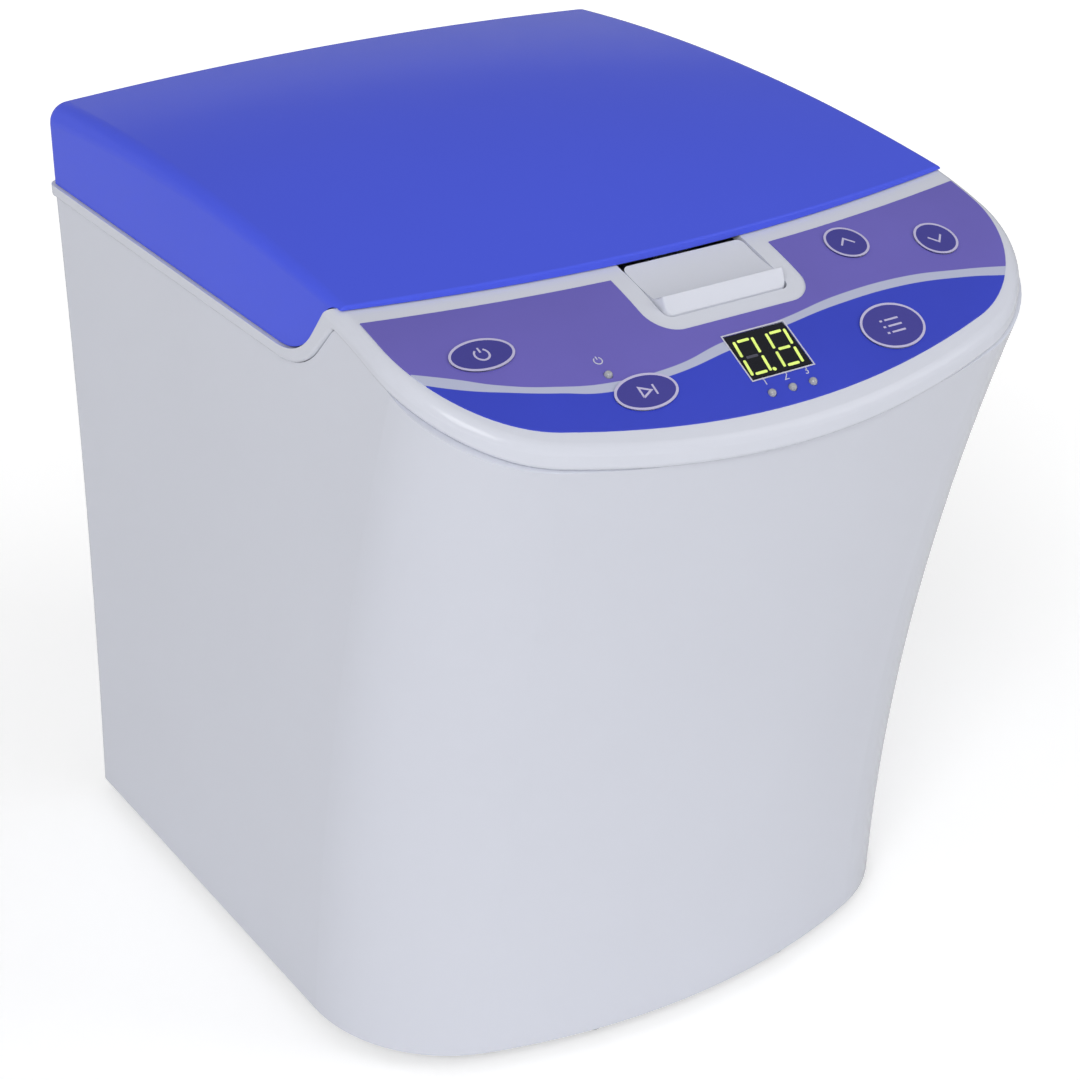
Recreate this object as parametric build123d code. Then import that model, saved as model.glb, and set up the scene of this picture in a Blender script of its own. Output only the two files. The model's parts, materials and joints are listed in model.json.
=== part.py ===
from build123d import *
import math
import os

# Bench mixer for dental impression material: a white case with a hinged blue lid,
# a sloped control panel, and a planetary cup rotor driven by a belt.
# Millimetres. X to the right, Y to the back, Z up. The origin lies under the middle
# of the whole machine, on the surface that it stands on.

# ---------------------------------------------------------------- case
REAR_Y = 158.5            # outer rear plane of the case
HALF_WIDTH = 131.3        # half width of the case at its rim
FOOT_HEIGHT = 6.0         # the case's lower edge above the table
WALL = 3.0                # moulded wall of the shell and the frame
SHELL_GAP = 0.4           # clearance between one moulding and the next
SEAM = 0.25               # open seam between the shell and the frame, at the sides
FRONT_SEAM = 0.12         # and under the bead of the panel
BASE_DRAW = 0.1           # the lower edge stands in from the rim by this much
BASE_HALF_WIDTH = HALF_WIDTH - BASE_DRAW
WAIST_DRAW = 2.7          # and the waist by this much
WAIST_HALF_WIDTH = HALF_WIDTH - WAIST_DRAW
WAIST_Z = 176.0           # height of the waist
REAR_CORNER_R = 6.0       # vertical rear corners
BASE_FRONT_Y = -116.8     # front of the case at its lower edge
FLARE_SLOPE = 0.0426      # lean of the front at its lower edge
FLARE_R = 973.0           # radius of the hollow flare of the front
BASE_FRONT_R = 274.0      # bow of the front in plan, at the lower edge
BASE_CORNER_R = 63.0      # plan radius of the front corners, at the lower edge
SHELL_TOP_Z = 322.0       # the blank of the shell before its top is cut

# ---------------------------------------------------------------- parting line
PARTING_Z = 283.0         # flat stretch of the line between shell and frame
SEAT_Z = 288.2            # flat stretch of the frame's top edge under the lid
LOBE_Y = -35.5            # where the flat stretch turns up into the lobe
LOBE_CENTRE_Z = 322.6     # centre height of the lobe's large arc
CREST_Y = -77.4           # centre of the small arc at the top of the lobe
CREST_R = 9.0             # its radius on the frame's top edge
BUMP_Y = -77.5            # centre of the small arc of the parting line
BUMP_Z = 302.5
BUMP_R = 4.5

# ---------------------------------------------------------------- control panel
PANEL_R = 212.0           # the panel is part of a cylinder along X
PANEL_Y = -40.7           # axis of that cylinder
PANEL_Z = 105.7
PANEL_BACK_Y = -79.0      # front corners of the lid
RIM_HALF_WIDTH = HALF_WIDTH
RIM_FRONT_Y = -166.0      # foremost point of the rim
RIM_FRONT_R = 345.0       # bow of the rim in plan
RIM_CORNER_R = 54.0       # plan radius of its front corners
TOP_FRONT_STEP = 5.0      # the case's bow under the rim has a smaller radius
TOP_FRONT_R = RIM_FRONT_R - TOP_FRONT_STEP
TOP_CORNER_STEP = 2.0     # and so have its corners
TOP_CORNER_R = RIM_CORNER_R - TOP_CORNER_STEP
RIM_TOP_ROUND = 4.6       # rounding of the bead's upper edge
RIM_LOW_ROUND = 1.4       # rounding of the bead's lower edge
RIM_DEPTH = 8.0           # bead depth below the panel, at the sides
RIM_FRONT_DEPTH = 6.0     # and at the front

# ---------------------------------------------------------------- lid
LID_STEP = 1.3            # the lid's sides stand in from the rim
LID_HALF_WIDTH = HALF_WIDTH - LID_STEP
LID_REAR_STEP = 1.0       # and its rear from the case's rear
LID_REAR_Y = REAR_Y - LID_REAR_STEP
LID_GAP = 0.5             # lid edge above the frame
LID_WALL = 2.6
LID_BOW = 11.0            # sagitta of the bowed front edge
LID_TOP_R = 1080.0        # long arc of the lid's top, front to back
LID_PEAK_Y = 58.5
LID_PEAK_Z = 324.9        # height of the side edges at the peak
LID_CROWN_REAR = 4.3      # crown across the lid, at the rear
LID_CROWN_FRONT = 0.3     # and at the front
LID_SIDE_REAR_R = 8.5     # rounding of the upper side edges, at the rear
LID_SIDE_FRONT_R = 3.0    # and at the front
LID_REAR_R = 6.0          # rounding of the rear face's edges
LID_FRONT_R = 0.9         # rounding of the bowed front edge
LID_OVER = 8.0            # the lid's blank runs on by this much before its front is cut

# ---------------------------------------------------------------- hinges
HINGE_X = 72.0            # centre of each hinge
HINGE_WIDTH = 42.0
KNUCKLE_R = 3.4
HINGE_PIN_R = 1.6
HINGE_FIT = 0.05          # running clearance of the pins
HINGE_Z = 285.6
LEAF = 1.5                # thickness of the leaves
LEAF_HEIGHT = 19.0
LEAF_RISE = 12.0          # leaf screws above and below the axis
LEAF_SCREW_X = 14.0       # their distance from the hinge's middle
LID_LEAF_Z = 289.6        # lower end of the lid's leaves
KNUCKLE_GAP = 0.4
HINGE_SETBACK = 0.7       # from the rear plane to the knuckles
KNUCKLE_MIDDLE = 8.0      # half length of the middle knuckle

# ---------------------------------------------------------------- film, keys, display
FILM_SIDE = 4.4           # bare margins of the frame round the film
FILM_HALF_WIDTH = HALF_WIDTH - FILM_SIDE
FILM_FRONT = 6.3
FILM_FRONT_Y = RIM_FRONT_Y + FILM_FRONT
FILM_FRONT_R = 358.0
FILM_CORNER_R = 50.0
FILM_REAR_Y = -86.8       # rear corners of the film
FILM_BOW = 10.2           # sagitta of its rear edge
FILM_T = 0.4
BAY_HALF_WIDTH = 34.0     # the cut-out of the film around the button
BAY_FRONT_Y = -125.0
BAY_CORNER_R = 11.0
KEY_TRAVEL = 0.4
KEY_GAP = 0.35
KEY_T = 1.0
KEY_EDGE_R = 0.4
KEY_PROUD = 0.55          # keys stand this far above the film
KEY_POCKET = 0.8          # depth of the frame's pockets under the keys
STEM_R = 2.2
POWER_KEY_SIDE = 29.2     # the outer keys keep these distances from the film's sides
DOWN_KEY_SIDE = 30.8
KEYS = {
    "key_power": (POWER_KEY_SIDE - FILM_HALF_WIDTH, -114.9, 11.6, 6.8),
    "key_start": (-52.4, -143.4, 11.7, 6.8),
    "key_up": (61.2, -106.3, 8.0, 8.0),
    "key_down": (FILM_HALF_WIDTH - DOWN_KEY_SIDE, -114.7, 8.0, 8.0),
    "key_memory": (52.0, -143.9, 12.7, 9.4),
}
DISPLAY_Y = -140.6
DISPLAY_WIDTH = 25.0      # two digits of 14.2 mm
DISPLAY_HEIGHT = 19.0
DISPLAY_DEPTH = 8.0
DISPLAY_GAP = 0.4
LED_R = 1.5
LED_GAP = 0.15
LED_Y = -154.6
LED_PITCH = 8.7
POWER_LED = (-61.1, -134.2)

# ---------------------------------------------------------------- release button
BUTTON_HALF_WIDTH = 25.7
BUTTON_REAR_Y = -90.8
BUTTON_FRONT_Y = -118.0
BUTTON_GAP = 0.8
BUTTON_TRAVEL = 3.0
BUTTON_RISE = 6.4         # height of the front face
BUTTON_LEAN = 3.3         # the front face leans back by this much
SCOOP_Y = -110.0          # deepest line of the hollow behind the ridge
SCOOP_DEPTH = 2.8
SCOOP_SAG = 0.7           # hollow of the rear slope
BUTTON_STOP_GAP = 1.0     # left under the pressed button
BUTTON_WALL = 1.8
BUTTON_CORNER_R = 2.6
BUTTON_EDGE_R = 0.6       # rounding of its top edges
LUG_Y = -100.0            # lugs that hold the button under the frame's skin
LUG_REACH = 2.8
LUG_LOW_Z = 299.0
LUG_HEIGHT = 2.5
GUIDE_Y = -107.0          # guide stem under the button
GUIDE_R = 2.8
GUIDE_LOW_Z = 288.0
GUIDE_TIP_R = 1.5
GUIDE_TIP_CHAMFER = 0.6   # bevel of its tip
GUIDE_TIP_GAP = 0.3       # from the stem's tip to the lever
GUIDE_FIT = 0.3
SPRING_OUTER_R = 5.9      # coil spring round the stem
SPRING_INNER_R = 4.9
SPRING_GAP = 0.3
PLATE_Z = 287.0           # latch bracket under the button
PLATE_T = 2.0
PLATE_HALF_WIDTH = 36.0
PLATE_FRONT_Y = -114.0
PLATE_REAR_Y = -93.0
NOTCH_Y = -100.3          # notch of the bracket for the hook
EAR_T = 2.0
EAR_GAP = 0.8             # from the lever to the ears
EAR_LOW_Z = 275.0
EAR_FRONT_Y = -101.0
EAR_REAR_Y = -93.5
BRACKET_BOSS_X = 31.0
PIVOT_Y = -97.0           # pin of the latch lever
PIVOT_Z = 279.0
PIVOT_R = 1.5
LEVER_HALF_WIDTH = 5.5
LEVER_HUB_R = 4.0
LEVER_ARM_TOP = 4.0       # top of the pressed arm above the pin
LEVER_ARM_T = 2.5
LEVER_ARM_Y = -109.0
NECK_FRONT_Y = -96.0      # upright neck of the hook
NECK_REAR_Y = -93.0
NOSE_Y = -92.4            # tip of the hook
NOSE_Z = 286.9
NOSE_T = 3.0
STRIKER_HALF_WIDTH = 8.0
STRIKER_FRONT_Y = -91.9
STRIKER_Y = -85.0
STRIKER_T = 2.5
STRIKER_LOW_Z = 284.0
STRIKER_SWING = 1.8       # room behind the striker for its swing

# ---------------------------------------------------------------- mixing chamber
ROTOR_Y = 41.5            # main shaft axis
TUB_R = 105.0             # inner radius of the chamber
TUB_WALL = 2.0
TUB_FLOOR_Z = 166.0       # inner floor
TUB_ROUND = 14.0          # rounding between floor and wall
TUB_FLANGE_Z = 282.0      # top of the tub's flange
TUB_FLANGE_T = 2.0
OPENING_SIDE = 8.3        # from the rim's side to the opening
OPENING_HALF_WIDTH = HALF_WIDTH - OPENING_SIDE
OPENING_FRONT = 7.0       # from the lid's front corners to the opening
OPENING_FRONT_Y = PANEL_BACK_Y + OPENING_FRONT
OPENING_REAR = 5.5        # from the case's rear to the opening
OPENING_REAR_Y = REAR_Y - OPENING_REAR
OPENING_CORNER_R = 12.0
LEDGE = 3.5               # ledge of the frame that carries the flange
FRAME_WALL = 4.0          # upright wall of the frame in front of the lid
LEDGE_T = 4.0
FLANGE_GAP = 0.5
LINER_T = 2.0             # inner panel of the lid
LINER_Z = 287.0
LINER_MARGIN = 1.5        # from the liner to the frame
LINER_SCREW_X = LID_HALF_WIDTH - 18.0
LINER_SCREW_Y = (PANEL_BACK_Y + 21.0, LID_REAR_Y - 17.5)
LINER_SCREWS = [(x, y) for x in (-LINER_SCREW_X, LINER_SCREW_X) for y in LINER_SCREW_Y]
SEAL_R = 106.0            # inner radius of the lid's seal
SEAL_WIDTH = 3.5
SEAL_GAP = 0.3

# ---------------------------------------------------------------- rotor and cup
CUP_TILT = 40.0           # cup axis from the vertical
CUP_RADIUS_AT = 47.0      # cup centre from the main axis
CUP_CENTRE_Z = 231.0
CUP_R = 33.0
CUP_HEIGHT = 66.0
CUP_WALL = 1.8
CUP_SEAT_GAP = 0.3        # under the cup in its holder
CAP_HEIGHT = 12.0
CAP_R = 35.5
CAP_TOP = 2.0
CAP_FIT = 0.15
HOLDER_WALL = 3.0
HOLDER_FIT = 0.35
HOLDER_TOP = 22.0         # rim of the holder above the cup's centre
HOLDER_FLOOR = 6.5
TYRE_AT = 35.0            # middle of the tyre below the cup's centre
TYRE_R = 40.0
TYRE_WIDTH = 7.0
SPINDLE_R = 6.0
SPINDLE_LENGTH = 20.0
SPINDLE_SOCKET = 4.5      # spindle pressed into the holder's floor
BOSS_R = 13.0             # bearing boss of the rotor arm
BOSS_GAP = 0.8            # from the holder's floor to the boss
BOSS_LENGTH = 17.5
CLIP_R = 8.5
CLIP_T = 1.0
RUN_FIT = 0.05            # radial running clearance of shafts
SHAFT_R = 8.0
SHAFT_LOW_Z = 36.0
SHAFT_TOP_Z = 208.0
HUB_R = 22.0
HUB_LOW_Z = 184.5
HUB_HEIGHT = 12.0
NUT_FLATS = 24.0
NUT_HEIGHT = 8.5
YOKE_INNER = 43.0         # the yoke passes the tyre on both sides
YOKE_OUTER = 52.0
YOKE_REAR_X = 9.0
YOKE_EDGE_R = 3.0
BRIDGE_X0 = 74.0
BRIDGE_X1 = 86.0
BEAM_END = 88.0           # beam that carries the counterweight
BEAM_HALF_WIDTH = 14.0
BEAM_HEIGHT = 6.0
WEIGHT_X0 = 54.0
WEIGHT_X1 = 88.0
WEIGHT_HALF_WIDTH = 34.0
WEIGHT_HEIGHT = 24.0
WEIGHT_R = 8.0
WEIGHT_SCREWS = (64.0, 80.0)
TRACK_GAP = 0.3           # between the tyre and its track
TRACK_TOP_Z = 181.4
TRACK_BORE = 26.0
TRACK_SCREW_AT = 31.0
TRACK_SCREW_R = 2.0

# ---------------------------------------------------------------- drive
DECK_Z = 155.0
DECK_T = 3.0
DECK_SIDE = 10.2          # from the case's lower edge to the deck
DECK_HALF_WIDTH = BASE_HALF_WIDTH - DECK_SIDE
DECK_FRONT = 21.8
DECK_FRONT_Y = BASE_FRONT_Y + DECK_FRONT
DECK_REAR = 8.5
DECK_REAR_Y = REAR_Y - DECK_REAR
DECK_CORNER_R = 30.0
BASE_T = 1.5
BASE_MARGIN = 0.4
PILLAR_R = 6.0
PILLAR_X = DECK_HALF_WIDTH - 16.0
PILLAR_Y = (DECK_FRONT_Y + 50.0, DECK_REAR_Y - 25.0)
PILLARS = [(x, y) for x in (-PILLAR_X, PILLAR_X) for y in PILLAR_Y]
HOUSING_R = 24.0
HOUSING_LOW_Z = 80.0
HOUSING_GAP = 0.5         # to the deck's hole
HOUSING_BORE = 12.0
FLANGE_R = 40.0
FLANGE_T = 6.0
FLANGE_SCREW_AT = 32.0
NOSE_R = 14.0             # neck of the housing through the tub's floor
NOSE_TOP_Z = 172.0
NOSE_GAP = 0.3
NOSE_BORE_GAP = 0.5
BEARING_R = 17.5
BEARING_WIDTH = 12.0
BEARING_TOP_Z = 152.0
BELT_Z = 46.0             # middle of the belt
BELT_WIDTH = 9.0
BELT_T = 1.8
BELT_GAP = 0.3
PULLEY_FLANGE = 2.5       # the pulleys' flanges stand out by this
PULLEY_FLANGE_T = 1.2
DRIVEN_R = 30.0
MOTOR_PULLEY_R = 18.0
MOTOR_Y = -58.0
MOTOR_R = 41.0
MOTOR_HEIGHT = 84.0
MOTOR_EDGE_R = 5.0
MOTOR_SHAFT_R = 5.0
MOTOR_SHAFT_LOW_Z = 37.0
MOTOR_SHAFT_DEPTH = 30.0
MOTOR_SCREW_AT = 32.0
BRACKET_Z = 60.0
BRACKET_T = 3.0
BRACKET_HALF_WIDTH = 53.0
BRACKET_HALF_LENGTH = 44.0
BRACKET_FOOT = 14.0
BRACKET_HOLE_R = 7.0

# ---------------------------------------------------------------- fasteners
SCREW_R = 1.5
HEAD_R = 3.0
HEAD_T = 2.0
SCREW_BITE = 6.0          # thread length in the piece behind
BOSS_OUTER_R = 3.5

# ---------------------------------------------------------------- base
SHELL_BOSS_R = 4.0
SHELL_BOSS_TOP_Z = 24.0
SIDE_BOSS_X = BASE_HALF_WIDTH - 6.6
REAR_BOSS_Y = REAR_Y - 6.1
FRONT_BOSS_Y = BASE_FRONT_Y + 6.8
SHELL_BOSSES = [(s * SIDE_BOSS_X, y) for s in (-1, 1) for y in (-40.0, REAR_Y - 33.5)]
SHELL_BOSSES += [(x, REAR_BOSS_Y) for x in (-60.0, 50.0)]
SHELL_BOSSES += [(x, FRONT_BOSS_Y) for x in (-45.0, 45.0)]
FOOT_R = 12.5
FOOT_CHAMFER = 1.0
FRONT_FOOT = (BASE_HALF_WIDTH - 43.2, BASE_FRONT_Y + 36.8)
REAR_FOOT = (BASE_HALF_WIDTH - 31.2, REAR_Y - 26.5)
FEET = [(s * x, y) for x, y in (FRONT_FOOT, REAR_FOOT) for s in (-1, 1)]

# ---------------------------------------------------------------- electrics
SUPPLY_Z = 42.0           # middle of the fittings in the rear wall
FITTING_FLANGE = 2.0      # flange of a fitting beyond its cut-out
FITTING_T = 1.5
SOCKET_X = 85.0
SOCKET_HALF_WIDTH = 14.0
SOCKET_HALF_HEIGHT = 10.0
SOCKET_DEPTH = 24.0
SOCKET_WALL = 2.0
SOCKET_RECESS = 16.0
CONTACT_PITCH = 7.0
CONTACT = (1.0, 2.0)      # half width and half height of a contact
CONTACT_LENGTH = 11.0
CONTACT_DROP = 2.0
SWITCH_X = 22.0
SWITCH_HALF_WIDTH = 8.0
SWITCH_HALF_HEIGHT = 11.0
SWITCH_DEPTH = 20.0
SWITCH_WALL = 1.6
SWITCH_RECESS = 8.0
ROCKER_GAP = 0.8
ROCKER_PIVOT = 2.0        # its pin lies this far behind the flange's face
ROCKER_R = 14.0           # hollow face of the rocker
ROCKER_HOLLOW = 1.6
ROCKER_PROUD = 2.2
ROCKER_PIN_R = 1.0
ROCKER_BACK = 3.0
FUSE_X = 55.0
FUSE_R = 6.3
FUSE_CAP_R = 8.0
FUSE_DEPTH = 30.0
FUSE_SLOT = (0.8, 4.5, 1.0)   # half width, half length and depth of its slot
VENT_COUNT = 12
VENT_X = -45.5
VENT_PITCH = 8.0
VENT_WIDTH = 3.0
VENT_Z = 92.0
VENT_HEIGHT = 40.0
BOARD_Y = -125.0          # the control board lies square to the panel here
BOARD_DEPTH = 10.0
BOARD_T = 1.6
BOARD_SIDE = 14.3         # from the rim's side to the board
BOARD_HALF_WIDTH = HALF_WIDTH - BOARD_SIDE
BOARD_FRONT = -33.0       # extents along the slope, from BOARD_Y
BOARD_BACK = 27.0
BOARD_MARGIN = 8.0        # from the rim's outline
BOARD_NOTCH = (40.0, -121.0)   # half width and front of its notch at the button
BOARD_BOSS_X = (BOARD_HALF_WIDTH - 4, BOARD_HALF_WIDTH - 33, 46)
BOARD_BOSSES = [(s * x, v) for s in (-1, 1) for x, v in zip(BOARD_BOSS_X, (-3, -24, 10))]
KEY_SWITCH = 6.0
KEY_SWITCH_HEIGHT = 4.0
KEY_SWITCH_GAP = 0.3
BOARD_X1 = BASE_HALF_WIDTH - 19.2
BOARD_X0 = BOARD_X1 - 72.0
POWER_BOARD = (BOARD_X0, BOARD_X1, 40.0, 118.0)
POWER_BOARD_Z = 15.0
STANDOFF_R = 3.0
STANDOFF_INSET = 5.0
CAPACITORS = [(BOARD_X0 + 14.0, 54.0), (BOARD_X0 + 14.0, 72.0), (BOARD_X0 + 32.0, 54.0)]
CAPACITOR_R = 7.0
CAPACITOR_HEIGHT = 24.0
HEAT_SINK = (BOARD_X1 - 30.0, BOARD_X1 - 8.0, 60.0, 100.0, 28.0)
COIL_X = 23.2 - BASE_HALF_WIDTH
TRANSFORMER = (COIL_X, COIL_X + 52.0, 60.0, 108.0)
TRANSFORMER_HEIGHT = 46.0
COIL_MARGIN = 9.0
COIL_RISE = 6.0

NODES = {}


def add(name, shape):
    """Keeps a finished piece under its node name."""
    NODES[name] = shape


def box(x0, x1, y0, y1, z0, z1):
    """A box between two corners."""
    size = (x1 - x0, y1 - y0, z1 - z0)
    middle = ((x0 + x1) / 2, (y0 + y1) / 2, (z0 + z1) / 2)
    return Pos(*middle) * Box(*size)


def rod(x, y, z0, z1, radius):
    """A vertical cylinder."""
    return Pos(x, y, (z0 + z1) / 2) * Cylinder(radius, z1 - z0)


def tube(x, y, z0, z1, radius, bore):
    """A vertical tube."""
    return rod(x, y, z0, z1, radius) - rod(x, y, z0 - 1, z1 + 1, bore)


def fuse(shapes):
    """Joins a list of overlapping shapes."""
    whole = shapes[0]
    for shape in shapes[1:]:
        whole = whole + shape
    return whole


def group(shapes):
    """Separate solids under one node."""
    return Compound(children=list(shapes))


# ---------------------------------------------------------------- outlines in plan
def d_outline(half, rear, front, front_r, corner_r, rear_r, z):
    """A plan outline: straight rear and sides, rounded front corners, bowed front."""
    bow_y = front + front_r
    corner_y = bow_y - math.sqrt((front_r - corner_r) ** 2 - (half - corner_r) ** 2)
    turn = math.atan2(half - corner_r, bow_y - corner_y)
    meet = (front_r * math.sin(turn), bow_y - front_r * math.cos(turn))
    middle = (math.pi / 2 + turn) / 2
    corner = (
        half - corner_r + corner_r * math.sin(middle),
        corner_y - corner_r * math.cos(middle),
    )
    bend = rear_r * (1 - math.sqrt(0.5))
    edges = [
        Line((-half + rear_r, rear, z), (half - rear_r, rear, z)),
        ThreePointArc((half - rear_r, rear, z), (half - bend, rear - bend, z), (half, rear - rear_r, z)),
        Line((half, rear - rear_r, z), (half, corner_y, z)),
        ThreePointArc((half, corner_y, z), (*corner, z), (*meet, z)),
        ThreePointArc((*meet, z), (0, front, z), (-meet[0], meet[1], z)),
        ThreePointArc((-meet[0], meet[1], z), (-corner[0], corner[1], z), (-half, corner_y, z)),
        Line((-half, corner_y, z), (-half, rear - rear_r, z)),
        ThreePointArc((-half, rear - rear_r, z), (-half + bend, rear - bend, z), (-half + rear_r, rear, z)),
    ]
    return make_face(edges)


def bowed_outline(half, rear, front_corner, bow, rear_r, z):
    """A plan outline with a straight rear, rounded rear corners and a bowed front."""
    bend = rear_r * (1 - math.sqrt(0.5))
    edges = [
        Line((-half + rear_r, rear, z), (half - rear_r, rear, z)),
        ThreePointArc((half - rear_r, rear, z), (half - bend, rear - bend, z), (half, rear - rear_r, z)),
        Line((half, rear - rear_r, z), (half, front_corner, z)),
        ThreePointArc((half, front_corner, z), (0, front_corner - bow, z), (-half, front_corner, z)),
        Line((-half, front_corner, z), (-half, rear - rear_r, z)),
        ThreePointArc((-half, rear - rear_r, z), (-half + bend, rear - bend, z), (-half + rear_r, rear, z)),
    ]
    return make_face(edges)


def upright(face, height):
    """Extrudes a plan face upwards."""
    return extrude(face, amount=height, dir=(0, 0, 1))


def block(half_width, edges):
    """Extrudes a closed side profile, given in Y and Z, across the machine."""
    face = make_face(edges)
    solid = extrude(face, amount=half_width, dir=(1, 0, 0), both=True)
    return solid


# ---------------------------------------------------------------- side profiles
def panel_height(y, depth=0.0):
    """Height of the panel's surface, or of a surface that lies deeper."""
    return PANEL_Z + math.sqrt((PANEL_R - depth) ** 2 - (y - PANEL_Y) ** 2)


def panel_slope(y):
    """Slope of the panel in radians; it falls towards the front."""
    return math.asin((PANEL_Y - y) / PANEL_R)


def yz(y, z):
    """A point of a side profile."""
    return (0.0, y, z)


def step_points(low_z, crest_y, crest_z, crest_r):
    """Tangent points of the S from the flat stretch up to the crest."""
    lobe_r = LOBE_CENTRE_Z - low_z
    dy = LOBE_Y - crest_y
    dz = LOBE_CENTRE_Z - crest_z
    span = math.hypot(dy, dz)
    heading = math.asin((lobe_r + crest_r) / span) - math.atan2(dz, dy)
    half = heading / 2
    return [
        yz(LOBE_Y, low_z),
        yz(LOBE_Y - lobe_r * math.sin(half), LOBE_CENTRE_Z - lobe_r * math.cos(half)),
        yz(LOBE_Y - lobe_r * math.sin(heading), LOBE_CENTRE_Z - lobe_r * math.cos(heading)),
        yz(crest_y + crest_r * math.sin(heading), crest_z + crest_r * math.cos(heading)),
        yz(crest_y + crest_r * math.sin(half), crest_z + crest_r * math.cos(half)),
        yz(crest_y, crest_z + crest_r),
    ]


def step_edges(low_z, crest_y, crest_z, crest_r, rear):
    """The flat stretch, the lobe and the crest, from the rear forwards."""
    p = step_points(low_z, crest_y, crest_z, crest_r)
    return [
        Line(yz(rear, low_z), p[0]),
        ThreePointArc(p[0], p[1], p[2]),
        Line(p[2], p[3]),
        ThreePointArc(p[3], p[4], p[5]),
    ], p[5]


def parting_block(rise, front_rise):
    """Everything above the line between shell and frame, moved up by these amounts."""
    rear = REAR_Y + 20
    low = PARTING_Z + rise
    edges, crest = step_edges(low, BUMP_Y, BUMP_Z + rise, BUMP_R, rear)
    front = RIM_FRONT_Y - 20
    middle = (CREST_Y + RIM_FRONT_Y) / 2
    top = SHELL_TOP_Z + 40
    middle_rise = (2 * front_rise + rise) / 3
    end = yz(front, panel_height(front, RIM_FRONT_DEPTH) + front_rise)
    edges += [
        ThreePointArc(crest, yz(middle, panel_height(middle, RIM_DEPTH) + middle_rise), end),
        Line(end, yz(front, top)),
        Line(yz(front, top), yz(rear, top)),
        Line(yz(rear, top), yz(rear, low)),
    ]
    return block(RIM_HALF_WIDTH + 20, edges)


def seat_block(rise):
    """Everything under the frame's top edge: band, lobe, crest and panel."""
    rear = REAR_Y + 20
    low = SEAT_Z + rise
    crest_z = panel_height(CREST_Y) - CREST_R
    edges, crest = step_edges(low, CREST_Y, crest_z + rise, CREST_R, rear)
    front = RIM_FRONT_Y - 20
    middle = (CREST_Y + front) / 2
    bottom = 60.0
    end = yz(front, panel_height(front, -rise))
    edges += [
        ThreePointArc(crest, yz(middle, panel_height(middle, -rise)), end),
        Line(end, yz(front, bottom)),
        Line(yz(front, bottom), yz(rear, bottom)),
        Line(yz(rear, bottom), yz(rear, low)),
    ]
    return block(RIM_HALF_WIDTH + 20, edges)


def panel_block(depth):
    """Everything under the panel's cylinder, or under a deeper one."""
    rear = PANEL_Y
    front = RIM_FRONT_Y - 20
    middle = (rear + front) / 2
    bottom = 60.0
    edges = [
        ThreePointArc(
            yz(rear, panel_height(rear, depth)),
            yz(middle, panel_height(middle, depth)),
            yz(front, panel_height(front, depth)),
        ),
        Line(yz(front, panel_height(front, depth)), yz(front, bottom)),
        Line(yz(front, bottom), yz(rear, bottom)),
        Line(yz(rear, bottom), yz(rear, panel_height(rear, depth))),
    ]
    return block(RIM_HALF_WIDTH + 20, edges)


def on_panel(x, y, lift=0.0):
    """A place on the panel whose local Z is the panel's normal."""
    tilt = panel_slope(y)
    return Pos(x, y, panel_height(y)) * Rot(math.degrees(tilt), 0, 0) * Pos(0, 0, lift)


# ---------------------------------------------------------------- case
def shell_solid(inset, low, high, steps):
    """The flared body between two heights, drawn in by inset."""
    faces = []
    for i in range(steps + 1):
        z = low + (high - low) * i / steps
        rise = z - FOOT_HEIGHT
        half = WAIST_HALF_WIDTH + (BASE_HALF_WIDTH - WAIST_HALF_WIDTH) * (
            (z - WAIST_Z) / (WAIST_Z - FOOT_HEIGHT)
        ) ** 2
        reach = FLARE_SLOPE * rise + rise**2 / (2 * FLARE_R)
        share = reach / (BASE_FRONT_Y - RIM_FRONT_Y)
        front_r = BASE_FRONT_R + (TOP_FRONT_R - BASE_FRONT_R) * share
        corner_r = BASE_CORNER_R + (TOP_CORNER_R - BASE_CORNER_R) * share
        faces.append(
            d_outline(
                half - inset,
                REAR_Y - inset,
                BASE_FRONT_Y - reach + inset,
                front_r - inset,
                corner_r - inset,
                REAR_CORNER_R - inset,
                z,
            )
        )
    return loft(faces)


def body_shell():
    """White case: flared shell, open below and above, with its rear cut-outs."""
    shell = shell_solid(0, FOOT_HEIGHT, SHELL_TOP_Z, 6)
    shell = shell - shell_solid(WALL, FOOT_HEIGHT - 1, SHELL_TOP_Z + 1, 6)
    shell = shell - parting_block(0, 0)
    for i in range(VENT_COUNT):
        x = VENT_X + i * VENT_PITCH
        low, high = VENT_Z, VENT_Z + VENT_HEIGHT
        shell = shell - box(x, x + VENT_WIDTH, REAR_Y - 9, REAR_Y + 1, low, high)
    shell = shell - rear_box(SOCKET_X, SOCKET_HALF_WIDTH, SOCKET_HALF_HEIGHT, SHELL_GAP)
    shell = shell - rear_box(SWITCH_X, SWITCH_HALF_WIDTH, SWITCH_HALF_HEIGHT, SHELL_GAP)
    shell = shell - along_y(FUSE_X, SUPPLY_Z, REAR_Y - 9, REAR_Y + 1, FUSE_R + SHELL_GAP)
    for x, z in hinge_screw_places(-LEAF_RISE):
        shell = shell - along_y(x, z, REAR_Y - WALL - 1, REAR_Y + 1, SCREW_R)
    solid = shell_solid(WALL / 2, FOOT_HEIGHT, SHELL_TOP_Z, 6)
    for x, y in SHELL_BOSSES:
        boss = rod(x, y, FOOT_HEIGHT + BASE_T, SHELL_BOSS_TOP_Z, SHELL_BOSS_R)
        shell = shell + (boss & solid)
        shell = shell - rod(x, y, FOOT_HEIGHT, FOOT_HEIGHT + BASE_T + SCREW_BITE, SCREW_R)
    return shell


def rear_box(x, half_width, half_height, gap):
    """A cutter through the rear wall at the height of the supply fittings."""
    half_width = half_width + gap
    half_height = half_height + gap
    low, high = SUPPLY_Z - half_height, SUPPLY_Z + half_height
    return box(x - half_width, x + half_width, REAR_Y - 9, REAR_Y + 1, low, high)


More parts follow.
